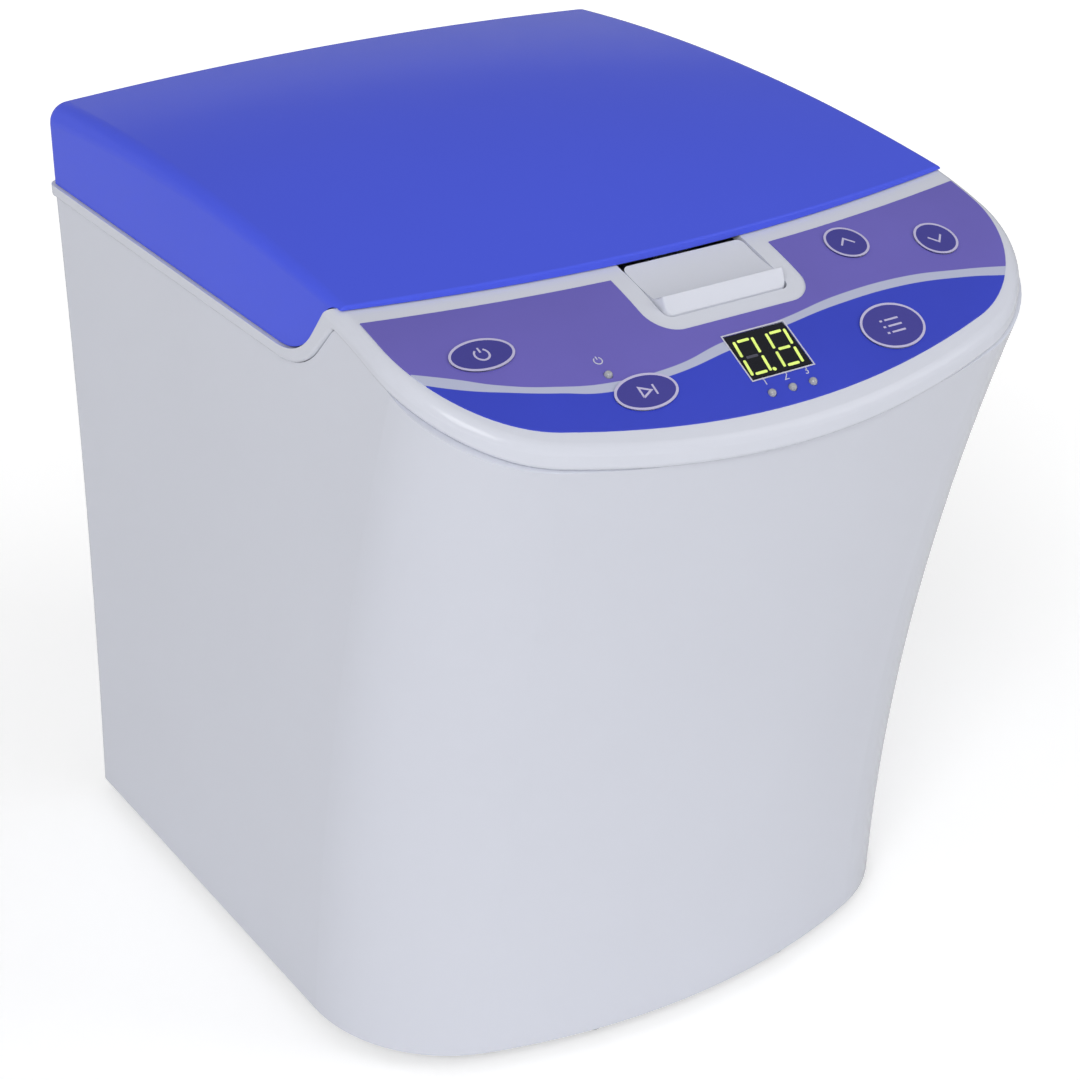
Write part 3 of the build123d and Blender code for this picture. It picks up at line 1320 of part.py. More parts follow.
def counterweight():
    """Steel block opposite the cup."""
    low = HUB_LOW_Z + BEAM_HEIGHT
    weight = box(
        -WEIGHT_X1,
        -WEIGHT_X0,
        ROTOR_Y - WEIGHT_HALF_WIDTH,
        ROTOR_Y + WEIGHT_HALF_WIDTH,
        low,
        low + WEIGHT_HEIGHT,
    )
    weight = fillet(weight.edges().filter_by(Axis.Z), WEIGHT_R)
    for x in WEIGHT_SCREWS:
        weight = weight - rod(-x, ROTOR_Y, low - 1, low + SCREW_BITE, SCREW_R)
    return weight


def weight_screws():
    bite = BEAM_HEIGHT + SCREW_BITE
    return group([screw_up(-x, ROTOR_Y, HUB_LOW_Z, bite) for x in WEIGHT_SCREWS])


def rotor_nut():
    """Hexagon nut on top of the hub."""
    low = HUB_LOW_Z + HUB_HEIGHT
    corner = NUT_FLATS / math.sqrt(3)
    nut = Pos(0, ROTOR_Y, low) * extrude(RegularPolygon(corner, 6), amount=NUT_HEIGHT)
    return nut - rod(0, ROTOR_Y, low - 1, low + NUT_HEIGHT + 1, SHAFT_R)


def main_shaft():
    return rod(0, ROTOR_Y, SHAFT_LOW_Z, SHAFT_TOP_Z, SHAFT_R)


def cup_holder():
    """Socket that grips the cup."""
    inner = CUP_R + HOLDER_FIT
    holder = cup_rod(HOLDER_LOW, HOLDER_TOP, inner + HOLDER_WALL)
    holder = holder - cup_rod(CUP_LOW, HOLDER_TOP + 5, inner)
    return holder - cup_rod(HOLDER_LOW - 1, HOLDER_LOW + SPINDLE_SOCKET, SPINDLE_R)


def holder_spindle():
    low = HOLDER_LOW - SPINDLE_LENGTH
    return cup_rod(low, HOLDER_LOW + SPINDLE_SOCKET, SPINDLE_R)


def spindle_clip():
    """Retaining ring under the boss."""
    high = BOSS_LOW - GUIDE_FIT
    return cup_rod(high - CLIP_T, high, CLIP_R) - cup_rod(high - 5, high + 5, SPINDLE_R)


def drive_tyre():
    """Rubber tyre pressed on the holder."""
    low, high = -TYRE_AT - TYRE_WIDTH / 2, -TYRE_AT + TYRE_WIDTH / 2
    bore = CUP_R + HOLDER_FIT + HOLDER_WALL
    return cup_rod(low, high, TYRE_R) - cup_rod(low - 1, high + 1, bore)


def mixing_cup():
    low = CUP_LOW + CUP_SEAT_GAP
    high = low + CUP_HEIGHT
    return cup_rod(low, high, CUP_R) - cup_rod(low + CUP_WALL, high + 1, CUP_R - CUP_WALL)


def cup_cap():
    high = CUP_LOW + CUP_SEAT_GAP + CUP_HEIGHT + CUP_SEAT_GAP + CAP_TOP
    cap = cup_rod(high - CAP_HEIGHT, high, CAP_R)
    return cap - cup_rod(high - CAP_HEIGHT - 1, high - CAP_TOP, CUP_R + CAP_FIT)


# ---------------------------------------------------------------- drive
def deck_plate():
    """Plate that carries the bearing housing and the tub."""
    deck = rounded_plate(DECK_HALF_WIDTH, DECK_FRONT_Y, DECK_REAR_Y, DECK_CORNER_R, DECK_Z, DECK_T)
    deck = deck - rod(0, ROTOR_Y, DECK_Z - 1, DECK_Z + DECK_T + 1, HOUSING_R + HOUSING_GAP)
    for x, y in PILLARS + ring_places(FLANGE_SCREW_AT, 0):
        deck = deck - rod(x, y, DECK_Z - 1, DECK_Z + DECK_T + 1, SCREW_R)
    return deck


def deck_pillars():
    pillars = []
    for x, y in PILLARS:
        low = FOOT_HEIGHT + BASE_T
        pillars.append(rod(x, y, low, DECK_Z, PILLAR_R) - rod(x, y, DECK_Z - SCREW_BITE, DECK_Z + 1, SCREW_R))
    return group(pillars)


def deck_screws():
    top = DECK_Z + DECK_T
    return [screw_down(x, y, top, DECK_T + SCREW_BITE) for x, y in PILLARS]


def bearing_housing():
    """Flanged housing that hangs under the deck."""
    flange_low = DECK_Z + DECK_T
    flange_top = flange_low + FLANGE_T
    housing = rod(0, ROTOR_Y, HOUSING_LOW_Z, flange_low + 1, HOUSING_R)
    housing = housing + rod(0, ROTOR_Y, flange_low, flange_top, FLANGE_R)
    housing = housing + rod(0, ROTOR_Y, flange_top - 1, NOSE_TOP_Z, NOSE_R)
    housing = housing - rod(0, ROTOR_Y, HOUSING_LOW_Z - 1, NOSE_TOP_Z + 1, SHAFT_R + NOSE_BORE_GAP)
    housing = housing - rod(0, ROTOR_Y, HOUSING_LOW_Z - 1, BEARING_TOP_Z - 1, HOUSING_BORE)
    for low in bearing_levels():
        housing = housing - rod(0, ROTOR_Y, low, low + BEARING_WIDTH, BEARING_R)
    for x, y in ring_places(FLANGE_SCREW_AT, 0):
        housing = housing - rod(x, y, flange_low - 1, flange_low + FLANGE_T / 2, SCREW_R)
    for x, y in ring_places(TRACK_SCREW_AT, 45):
        housing = housing - rod(x, y, flange_top - FLANGE_T / 2, flange_top + 1, TRACK_SCREW_R)
    return housing


def bearing_levels():
    """Lower faces of the two bearings."""
    return [HOUSING_LOW_Z, BEARING_TOP_Z - BEARING_WIDTH]


def main_bearings():
    return group(
        [tube(0, ROTOR_Y, z, z + BEARING_WIDTH, BEARING_R, SHAFT_R + RUN_FIT) for z in bearing_levels()]
    )


def housing_screws():
    bite = DECK_T + FLANGE_T / 2
    return [screw_up(x, y, DECK_Z, bite) for x, y in ring_places(FLANGE_SCREW_AT, 0)]


def pulley(y, radius, bore):
    """A flanged belt pulley."""
    half = BELT_WIDTH / 2 + BELT_GAP + PULLEY_FLANGE_T
    wheel = rod(0, y, BELT_Z - half, BELT_Z + half, radius)
    for low in (BELT_Z - half, BELT_Z + half - PULLEY_FLANGE_T):
        wheel = wheel + rod(0, y, low, low + PULLEY_FLANGE_T, radius + PULLEY_FLANGE)
    return wheel - rod(0, y, BELT_Z - half - 1, BELT_Z + half + 1, bore)


def belt_loop(extra):
    """Outline of the belt round both pulleys, widened by extra."""
    big = DRIVEN_R + BELT_GAP + extra
    small = MOTOR_PULLEY_R + BELT_GAP + extra
    turn = math.asin((big - small) / (ROTOR_Y - MOTOR_Y))
    c, s = math.cos(turn), math.sin(turn)
    edges = [
        ThreePointArc((big * c, ROTOR_Y - big * s), (0, ROTOR_Y + big), (-big * c, ROTOR_Y - big * s)),
        Line((-big * c, ROTOR_Y - big * s), (-small * c, MOTOR_Y - small * s)),
        ThreePointArc((-small * c, MOTOR_Y - small * s), (0, MOTOR_Y - small), (small * c, MOTOR_Y - small * s)),
        Line((small * c, MOTOR_Y - small * s), (big * c, ROTOR_Y - big * s)),
    ]
    return Pos(0, 0, BELT_Z - BELT_WIDTH / 2) * extrude(make_face(edges), amount=BELT_WIDTH)


def drive_belt():
    return belt_loop(BELT_T) - belt_loop(0)


def motor_bracket():
    """Bent plate that stands on the base and carries the motor."""
    half, length = BRACKET_HALF_WIDTH, BRACKET_HALF_LENGTH
    low = FOOT_HEIGHT + BASE_T
    y0, y1 = MOTOR_Y - length, MOTOR_Y + length
    bracket = box(-half, half, y0, y1, BRACKET_Z, BRACKET_Z + BRACKET_T)
    for side in (-1, 1):
        x0, x1 = sorted((side * half, side * (half - BRACKET_T)))
        bracket = bracket + box(x0, x1, y0, y1, low, BRACKET_Z + 1)
        x0, x1 = sorted((side * (half - BRACKET_T), side * (half + BRACKET_FOOT)))
        bracket = bracket + box(x0, x1, y0, y1, low, low + BRACKET_T)
    bracket = bracket - rod(0, MOTOR_Y, BRACKET_Z - 1, BRACKET_Z + BRACKET_T + 1, BRACKET_HOLE_R)
    for x, y in ring_places(MOTOR_SCREW_AT, 45, MOTOR_Y):
        bracket = bracket - rod(x, y, BRACKET_Z - 1, BRACKET_Z + BRACKET_T + 1, SCREW_R)
    return bracket


def motor_housing():
    low = BRACKET_Z + BRACKET_T
    motor = rod(0, MOTOR_Y, low, low + MOTOR_HEIGHT, MOTOR_R)
    motor = fillet(motor.edges().sort_by(Axis.Z)[-1:], MOTOR_EDGE_R)
    motor = motor - rod(0, MOTOR_Y, low - 1, low + MOTOR_SHAFT_DEPTH + 1, MOTOR_SHAFT_R + RUN_FIT)
    for x, y in ring_places(MOTOR_SCREW_AT, 45, MOTOR_Y):
        motor = motor - rod(x, y, low - 1, low + SCREW_BITE, SCREW_R)
    return motor


def motor_screws():
    bite = BRACKET_T + SCREW_BITE
    places = ring_places(MOTOR_SCREW_AT, 45, MOTOR_Y)
    return [screw_up(x, y, BRACKET_Z, bite) for x, y in places]


def motor_shaft():
    high = BRACKET_Z + BRACKET_T + MOTOR_SHAFT_DEPTH
    return rod(0, MOTOR_Y, MOTOR_SHAFT_LOW_Z, high, MOTOR_SHAFT_R)


# ---------------------------------------------------------------- base
def base_plate():
    """Sheet floor inside the shell's lower edge."""
    inset = WALL + BASE_MARGIN
    outline = d_outline(
        BASE_HALF_WIDTH - inset,
        REAR_Y - inset,
        BASE_FRONT_Y + inset,
        BASE_FRONT_R - inset,
        BASE_CORNER_R - inset,
        REAR_CORNER_R - inset,
        FOOT_HEIGHT,
    )
    plate = upright(outline, BASE_T)
    for x, y in SHELL_BOSSES:
        plate = plate - rod(x, y, FOOT_HEIGHT - 1, FOOT_HEIGHT + BASE_T + 1, SCREW_R)
    x0, x1, y0, y1 = POWER_BOARD
    for x in (x0 + STANDOFF_INSET, x1 - STANDOFF_INSET):
        for y in (y0 + STANDOFF_INSET, y1 - STANDOFF_INSET):
            plate = plate + rod(x, y, FOOT_HEIGHT + BASE_T / 2, POWER_BOARD_Z, STANDOFF_R)
    return plate


def base_screws():
    bite = BASE_T + SCREW_BITE
    return [screw_up(x, y, FOOT_HEIGHT, bite) for x, y in SHELL_BOSSES]


def rubber_feet():
    feet = []
    for x, y in FEET:
        foot = rod(x, y, 0, FOOT_HEIGHT, FOOT_R)
        feet.append(chamfer(foot.edges().sort_by(Axis.Z)[:1], FOOT_CHAMFER))
    return group(feet)


# ---------------------------------------------------------------- electrics
def fitting_flange(x, half_width, half_height):
    """Flange of a fitting on the outside of the rear wall."""
    wide = half_width + FITTING_FLANGE
    tall = half_height + FITTING_FLANGE
    return box(x - wide, x + wide, REAR_Y, REAR_Y + FITTING_T, SUPPLY_Z - tall, SUPPLY_Z + tall)


def inlet_socket():
    """Recessed three-pole appliance inlet."""
    x, z = SOCKET_X, SUPPLY_Z
    half, tall = SOCKET_HALF_WIDTH, SOCKET_HALF_HEIGHT
    face = REAR_Y + FITTING_T
    socket = box(x - half, x + half, face - SOCKET_DEPTH, face, z - tall, z + tall)
    socket = socket + fitting_flange(x, half, tall)
    half, tall = half - SOCKET_WALL, tall - SOCKET_WALL
    floor = face - SOCKET_RECESS
    return socket - box(x - half, x + half, floor, face + 1, z - tall, z + tall)


def inlet_contacts():
    """Three blades in the inlet."""
    half, tall = CONTACT
    floor = REAR_Y + FITTING_T - SOCKET_RECESS
    blades = []
    for i in (-1, 0, 1):
        x = SOCKET_X + i * CONTACT_PITCH
        z = SUPPLY_Z + (CONTACT_DROP if i == 0 else -CONTACT_DROP)
        blades.append(box(x - half, x + half, floor, floor + CONTACT_LENGTH, z - tall, z + tall))
    return blades


def switch_housing():
    """Open frame of the mains switch."""
    x, z = SWITCH_X, SUPPLY_Z
    half, tall = SWITCH_HALF_WIDTH, SWITCH_HALF_HEIGHT
    face = REAR_Y + FITTING_T
    housing = box(x - half, x + half, face - SWITCH_DEPTH, face, z - tall, z + tall)
    housing = housing + fitting_flange(x, half, tall)
    half, tall = half - SWITCH_WALL, tall - SWITCH_WALL
    housing = housing - box(x - half, x + half, face - SWITCH_RECESS, face + 1, z - tall, z + tall)
    reach = SWITCH_HALF_WIDTH - SWITCH_WALL / 3
    return housing - along_x(x - reach, x + reach, face - ROCKER_PIVOT, z, ROCKER_PIN_R + RUN_FIT)


def rocker_switch():
    """Rocker that tips about a pin behind the flange's face."""
    x, z = SWITCH_X, SUPPLY_Z
    half = SWITCH_HALF_WIDTH - SWITCH_WALL - ROCKER_GAP
    tall = SWITCH_HALF_HEIGHT - SWITCH_WALL - ROCKER_GAP
    face = REAR_Y + FITTING_T
    back = face - ROCKER_PIVOT - ROCKER_BACK
    rocker = box(x - half, x + half, back, face + ROCKER_PROUD, z - tall, z + tall)
    hollow = face + ROCKER_PROUD + ROCKER_R - ROCKER_HOLLOW
    rocker = rocker - along_x(x - half - 1, x + half + 1, hollow, z, ROCKER_R)
    reach = SWITCH_HALF_WIDTH - SWITCH_WALL / 2
    return rocker + along_x(x - reach, x + reach, face - ROCKER_PIVOT, z, ROCKER_PIN_R)


def fuse_holder():
    """Round fuse holder with a slotted cap."""
    face = REAR_Y + FITTING_T
    holder = along_y(FUSE_X, SUPPLY_Z, face - FUSE_DEPTH, face, FUSE_R)
    holder = holder + along_y(FUSE_X, SUPPLY_Z, REAR_Y, face + FITTING_T, FUSE_CAP_R)
    half, length, depth = FUSE_SLOT
    top = face + FITTING_T
    x, z = FUSE_X, SUPPLY_Z
    return holder - box(x - length, x + length, top - depth, top + 1, z - half, z + half)


def power_board():
    """Supply board with its capacitors and a heat sink."""
    x0, x1, y0, y1 = POWER_BOARD
    board = box(x0, x1, y0, y1, POWER_BOARD_Z, POWER_BOARD_Z + BOARD_T)
    top = POWER_BOARD_Z + BOARD_T - 0.5
    for x, y in CAPACITORS:
        board = board + rod(x, y, top, top + CAPACITOR_HEIGHT, CAPACITOR_R)
    x0, x1, y0, y1, height = HEAT_SINK
    return board + box(x0, x1, y0, y1, top, top + height)


def transformer():
    """Laminated core with its winding."""
    x0, x1, y0, y1 = TRANSFORMER
    low = FOOT_HEIGHT + BASE_T
    core = box(x0, x1, y0 + COIL_MARGIN, y1 - COIL_MARGIN, low, low + TRANSFORMER_HEIGHT)
    inset = COIL_MARGIN
    high = low + TRANSFORMER_HEIGHT - COIL_RISE
    return core + box(x0 + inset, x1 - inset, y0, y1, low + COIL_RISE, high)


# ---------------------------------------------------------------- all pieces
add("body_shell", body_shell())
add("top_frame", top_frame())
add("base_plate", base_plate())
add("case_screws", group(base_screws() + leaf_screws(REAR_Y, -LEAF_RISE)))
add("rubber_feet", rubber_feet())
add("lid_shell", lid_shell())
add("lid_liner", lid_liner())
add("lid_seal", lid_seal())
add("lid_screws", group(liner_screws() + leaf_screws(LID_REAR_Y, LEAF_RISE)))
add("lid_striker", lid_striker())
add("frame_hinges", group([frame_hinge(-HINGE_X), frame_hinge(HINGE_X)]))
add("lid_hinges", group([lid_hinge(-HINGE_X), lid_hinge(HINGE_X)]))
add("hinge_pins", group([hinge_pin(-HINGE_X), hinge_pin(HINGE_X)]))
add("panel_film", panel_film())
for key_name in KEYS:
    add(key_name, key(key_name))
add("display", display())
add("indicator_leds", group([led(x, y) for x, y in led_places()]))
add("control_board", control_board())
add("panel_screws", group(board_screws() + bracket_screws()))
add("key_switches", key_switches())
add("release_button", release_button())
add("button_spring", button_spring())
add("latch_bracket", latch_bracket())
add("latch_pin", latch_pin())
add("latch_lever", latch_lever())
add("mixing_tub", mixing_tub())
add("drive_track", drive_track())
add("track_screws", track_screws())
add("rotor_arm", rotor_arm())
add("counterweight", counterweight())
add("weight_screws", weight_screws())
add("rotor_nut", rotor_nut())
add("main_shaft", main_shaft())
add("driven_pulley", pulley(ROTOR_Y, DRIVEN_R, SHAFT_R))
add("cup_holder", cup_holder())
add("holder_spindle", holder_spindle())
add("spindle_clip", spindle_clip())
add("drive_tyre", drive_tyre())
add("mixing_cup", mixing_cup())
add("cup_cap", cup_cap())
add("deck_plate", deck_plate())
add("deck_pillars", deck_pillars())
add("drive_screws", group(deck_screws() + housing_screws() + motor_screws()))
add("bearing_housing", bearing_housing())
add("main_bearings", main_bearings())
add("motor_bracket", motor_bracket())
add("motor_housing", motor_housing())
add("motor_shaft", motor_shaft())
add("motor_pulley", pulley(MOTOR_Y, MOTOR_PULLEY_R, MOTOR_SHAFT_R))
add("drive_belt", drive_belt())
add("inlet_socket", group([inlet_socket()] + inlet_contacts()))
add("switch_housing", switch_housing())
add("rocker_switch", rocker_switch())
add("fuse_holder", fuse_holder())
add("power_board", power_board())
add("transformer", transformer())

os.makedirs("parts", exist_ok=True)
for node_name, shape in NODES.items():
    export_step(shape, "parts/" + node_name + ".step")
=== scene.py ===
import json
import math

import bmesh
import bpy
from mathutils import Matrix, Vector


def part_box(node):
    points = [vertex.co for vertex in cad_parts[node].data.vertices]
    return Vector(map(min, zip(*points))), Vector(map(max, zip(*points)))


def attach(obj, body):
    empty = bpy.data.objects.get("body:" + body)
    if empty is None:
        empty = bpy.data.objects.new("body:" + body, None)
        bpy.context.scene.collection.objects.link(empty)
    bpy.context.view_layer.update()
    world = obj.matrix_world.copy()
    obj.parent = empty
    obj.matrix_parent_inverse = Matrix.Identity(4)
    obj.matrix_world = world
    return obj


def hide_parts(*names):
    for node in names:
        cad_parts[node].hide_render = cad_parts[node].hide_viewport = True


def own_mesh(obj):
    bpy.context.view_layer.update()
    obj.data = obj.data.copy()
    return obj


# Looks of a bench mixer for impression material, built around its CAD frame.
# Lengths are millimetres, apart from those of the stage and the lamps, which are metres.
# X runs to the right, Y to the back and Z up, as in the CAD.

MM = 0.001
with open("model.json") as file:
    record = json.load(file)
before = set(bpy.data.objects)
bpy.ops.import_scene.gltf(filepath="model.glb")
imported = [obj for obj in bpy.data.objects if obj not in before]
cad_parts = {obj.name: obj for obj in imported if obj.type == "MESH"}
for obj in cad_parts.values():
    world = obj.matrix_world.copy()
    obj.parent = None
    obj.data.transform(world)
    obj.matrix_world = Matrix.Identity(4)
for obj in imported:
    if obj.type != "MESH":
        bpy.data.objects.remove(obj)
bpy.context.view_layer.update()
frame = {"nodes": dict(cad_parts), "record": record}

# ---------------------------------------------------------------- sizes of the frame
PANEL_R = 212.0           # the control panel is part of a cylinder along X
PANEL_Y = -40.7           # and this is its axis
PANEL_Z = 105.7
FILM_T = 0.4
KEY_PROUD = 0.55          # the keys stand this far above the film
KEYS = {                  # middle (x, y) and half axes of each
    "key_power": (-97.7, -114.9, 11.6, 6.8),
    "key_start": (-52.4, -143.4, 11.7, 6.8),
    "key_up": (61.2, -106.3, 8.0, 8.0),
    "key_down": (96.1, -114.7, 8.0, 8.0),
    "key_memory": (52.0, -143.9, 12.7, 9.4),
}
DISPLAY_Y = -140.6
WINDOW_HALF_WIDTH = 12.9  # opening of the film over the display
WINDOW_HALF_HEIGHT = 9.9
LED_PITCH = 8.7
POWER_LED = (-61.1, -134.2)
ROTOR_Y = 41.5            # main axis
MOTOR_Y = -58.0
CUP_TILT = 40.0           # degrees from upright
CUP_CENTRE = (47.0, ROTOR_Y, 231.0)
GUIDE_Y = -107.0          # stem of the release button
SPRING_LOW = 289.0        # the button's spring, at rest
SPRING_HIGH = 302.4
SPRING_OUTER = 5.9
SPRING_WIRE = 0.42        # radius of its wire
SPRING_TURNS = 6.0
FEET = [(-88.0, -80.0), (88.0, -80.0), (-100.0, 132.0), (100.0, 132.0)]   # their middles
LEAF_SCREW_X = (-86.0, -58.0, 58.0, 86.0)
LEAF_SCREW_Z = {"cabinet": 273.6, "lid": 297.6}
LEAF_FACE_Y = 160.0       # outer face of the frame's hinge leaves
BASE_SCREWS = [(-45.0, -110.0), (45.0, -110.0), (-60.0, 152.4), (50.0, 152.4)]
BASE_SCREWS += [(side * 124.6, y) for side in (-1, 1) for y in (-40.0, 125.0)]
BASE_Z = 6.0              # underside of the case
FOOT_R = 12.5
SEAL_INNER = 106.0
SEAL_OUTER = 109.5
SEAL_LOW = 282.3          # its lower and upper limit in Z
SEAL_HIGH = 287.0
TYRE_BORE = 36.35
TYRE_OUTER = 40.0
TYRE_LOW = -38.5          # along the cup's axis, from the cup's centre
TYRE_HIGH = -31.5
BELT_BIG_R = 30.3         # inner face of the belt round the driven pulley
BELT_SMALL_R = 18.3       # and round the motor's pulley
BELT_THICK = 1.8
BELT_LOW = 41.5           # its lower and upper edge in Z
BELT_HIGH = 50.5
BELT_RIBS = 4
SHARP_TIP = 0.01          # radius that stands for a point on a turned profile's axis

# ---------------------------------------------------------------- photograph
PICTURE = 1080.0
FOCAL_PIXELS = 2489.83
CAMERA_AT = (-490.28, -741.45, 627.51)
CAMERA_DOWN = math.radians(27.822)
CAMERA_TURN = math.radians(33.569)
CAMERA_ROLL = math.radians(0.3606)
SENSOR = 36.0
CLIP = (0.05, 60.0)       # metres from the camera

# ---------------------------------------------------------------- colours, linear
CASE = (0.70, 0.72, 0.80)
LID = (0.083, 0.122, 0.84)
FILM_UPPER = (0.165, 0.14, 0.53)
FILM_LOWER = (0.045, 0.068, 0.58)
FILM_STRIPE = (0.50, 0.53, 0.70)
KEY_FILL = (0.065, 0.06, 0.32)
KEY_LINE = (0.56, 0.53, 0.75)
SEGMENT_LIT = (0.58, 0.72, 0.16)
SEGMENT_DIM = (0.09, 0.09, 0.12)
SEGMENT_GLOW = 0.55       # strength of a lit segment's own light
PALE_INK = (0.62, 0.62, 0.72)
DISPLAY_DARK = (0.012, 0.013, 0.018)
LAMP_LENS = (0.55, 0.56, 0.6)
BOARD_DARK = (0.02, 0.13, 0.055)
BOARD_LIGHT = (0.035, 0.2, 0.08)
BOARD_CLOUD = (0.015, 0.1, 0.045)
BLACK = (0.022, 0.022, 0.024)
TUB = (0.56, 0.58, 0.6)
CUP = (0.8, 0.81, 0.81)
SEAL_GREY = (0.2, 0.205, 0.22)
STEEL = (0.56, 0.57, 0.58)
ZINC = (0.62, 0.63, 0.64)
ALLOY = (0.6, 0.61, 0.62)
MOTOR_PAINT = (0.05, 0.055, 0.06)
CORE_STEEL = (0.1, 0.1, 0.11)
RUBBED_PAINT = (0.4, 0.4, 0.4)
# painted shade: near black that stands for the shade inside the screws' cross recesses
PAINTED_RECESS_SHADE = (0.03, 0.03, 0.035)


# ================================================================ materials
EDGE_BEGINS = 0.53        # pointiness at which an edge starts to be rubbed
EDGE_FULL = 0.62


def node_at(tree, kind, **values):
    """Adds a shader node and sets its named inputs."""
    node = tree.nodes.new(kind)
    for name, value in values.items():
        node.inputs[name.replace("_", " ")].default_value = value
    return node


def object_space(tree, scale=(1, 1, 1)):
    """The row's own coordinates in metres, stretched by scale."""
    place = tree.nodes.new("ShaderNodeTexCoord")
    stretch = node_at(tree, "ShaderNodeMapping", Scale=scale)
    tree.links.new(place.outputs["Object"], stretch.inputs["Vector"])
    return stretch.outputs["Vector"]


def noise(tree, scale, detail=3.0, stretch=(1, 1, 1)):
    """A noise field with that many cells to the metre."""
    field = node_at(tree, "ShaderNodeTexNoise", Scale=scale, Detail=detail)
    tree.links.new(object_space(tree, stretch), field.inputs["Vector"])
    return field.outputs["Fac"]


def ranged(tree, value, low, high, to_low, to_high):
    """Maps a value from one range to another."""
    limits = {"From_Min": low, "From_Max": high, "To_Min": to_low, "To_Max": to_high}
    node = node_at(tree, "ShaderNodeMapRange", **limits)
    tree.links.new(value, node.inputs["Value"])
    return node.outputs["Result"]


def mixed(tree, share, first, second):
    """Mixes two colours; share and either colour may be a link."""
    node = tree.nodes.new("ShaderNodeMix")
    node.data_type = "RGBA"
    for socket, value in ((0, share), (6, first), (7, second)):
        if isinstance(value, bpy.types.NodeSocket):
            tree.links.new(value, node.inputs[socket])
        elif socket:
            node.inputs[socket].default_value = (*value, 1.0)
        else:
            node.inputs[socket].default_value = value
    return node.outputs[2]


def combined(tree, operation, first, second):
    """A math node on two values; each may be a link or a number."""
    node = tree.nodes.new("ShaderNodeMath")
    node.operation = operation
    for socket, value in enumerate((first, second)):
        if isinstance(value, bpy.types.NodeSocket):
            tree.links.new(value, node.inputs[socket])
        else:
            node.inputs[socket].default_value = value
    return node.outputs["Value"]


def seen_directly(tree):
    """1 for what the camera sees, also through clear parts, and 0 for all other light."""
    path = tree.nodes.new("ShaderNodeLightPath")
    rays = [path.outputs[name] for name in ("Is Camera Ray", "Is Transmission Ray")]
    return combined(tree, "MAXIMUM", *rays)


def shade(colour, share):
    """A colour made lighter or darker."""
    return tuple(min(1.0, c * share) for c in colour)


def new_material(name):
    """A material with its node tree and its shader."""
    material = bpy.data.materials.new(name)
    material.use_nodes = True
    tree = material.node_tree
    return material, tree, tree.nodes["Principled BSDF"]


def set_shader(shader, **values):
    """Sets named inputs of a shader."""
    for name, value in values.items():
        shader.inputs[name.replace("_", " ")].default_value = value


def grained(tree, shader, grain, depth, stretch=(1, 1, 1), wave=0.0):
    """Fine bump of a surface, over a slow waviness of its moulding."""
    bump = node_at(tree, "ShaderNodeBump", Strength=0.5, Distance=depth * MM)
    tree.links.new(noise(tree, grain, 4.0, stretch), bump.inputs["Height"])
    if wave:
        slow = node_at(tree, "ShaderNodeBump", Strength=0.4, Distance=wave * MM)
        tree.links.new(noise(tree, 9.0, 1.0), slow.inputs["Height"])
        tree.links.new(slow.outputs["Normal"], bump.inputs["Normal"])
    tree.links.new(bump.outputs["Normal"], shader.inputs["Normal"])


def worn_edges(tree, colour, light, amount):
    """Lighter rubbed edges, where the surface is sharply convex."""
    shape = tree.nodes.new("ShaderNodeNewGeometry")
    edge = ranged(tree, shape.outputs["Pointiness"], EDGE_BEGINS, EDGE_FULL, 0.0, amount)
    patches = ranged(tree, noise(tree, 130.0), 0.35, 0.7, 0.2, 1.0)
    return mixed(tree, combined(tree, "MULTIPLY", edge, patches), colour, light)


def scuffed(tree, rough, spread, scale):
    """Roughness that varies slowly, with faint wiping marks."""
    cloud = ranged(tree, noise(tree, scale), 0.2, 0.8, rough - spread, rough + spread)
    wiped = noise(tree, 60.0, 6.0, (1.0, 7.0, 3.0))
    marks = ranged(tree, wiped, 0.5, 0.9, 0.0, spread)
    return combined(tree, "ADD", cloud, marks)


def plastic(
    name, colour, rough=0.3, vary=0.03, grain=1400.0, depth=0.02, gloss=0.3, wave=0.0, worn=0.04
):
    """Moulded plastic: slow colour variation, fine grain, wiped gloss, rubbed edges."""
    material, tree, shader = new_material(name)
    cloud = ranged(tree, noise(tree, 14.0, 2.0), 0.2, 0.8, 0.0, 1.0)
    base = mixed(tree, cloud, shade(colour, 1 - vary), shade(colour, 1 + vary))
    base = worn_edges(tree, base, shade(colour, 1.25), worn)
    tree.links.new(base, shader.inputs["Base Color"])
    tree.links.new(scuffed(tree, rough, 0.025, 40.0), shader.inputs["Roughness"])
    grained(tree, shader, grain, depth, wave=wave)
    set_shader(shader, Specular_IOR_Level=gloss)
    return material


def metal(name, colour, rough=0.3, brushed=(1, 1, 1), grain=500.0, depth=0.03, worn=0.25):
    """Bare or plated metal with a stretched grain and bright edges."""
    material, tree, shader = new_material(name)
    cloud = ranged(tree, noise(tree, 55.0, 6.0), 0.3, 0.7, 0.0, 1.0)
    base = mixed(tree, cloud, shade(colour, 0.9), shade(colour, 1.06))
    base = worn_edges(tree, base, shade(colour, 1.3), worn)
    tree.links.new(base, shader.inputs["Base Color"])
    tree.links.new(scuffed(tree, rough, 0.07, 90.0), shader.inputs["Roughness"])
    grained(tree, shader, grain, depth, brushed)
    set_shader(shader, Metallic=1.0)
    return material


def painted(name, colour, rough=0.42):
    """Stove paint with a slight orange peel, rubbed to the metal at its edges."""
    material, tree, shader = new_material(name)
    cloud = ranged(tree, noise(tree, 30.0, 5.0), 0.3, 0.7, 0.0, 1.0)
    base = mixed(tree, cloud, shade(colour, 0.88), shade(colour, 1.12))
    base = worn_edges(tree, base, RUBBED_PAINT, 0.35)
    tree.links.new(base, shader.inputs["Base Color"])
    tree.links.new(scuffed(tree, rough, 0.06, 60.0), shader.inputs["Roughness"])
    grained(tree, shader, 420.0, 0.06)
    return material


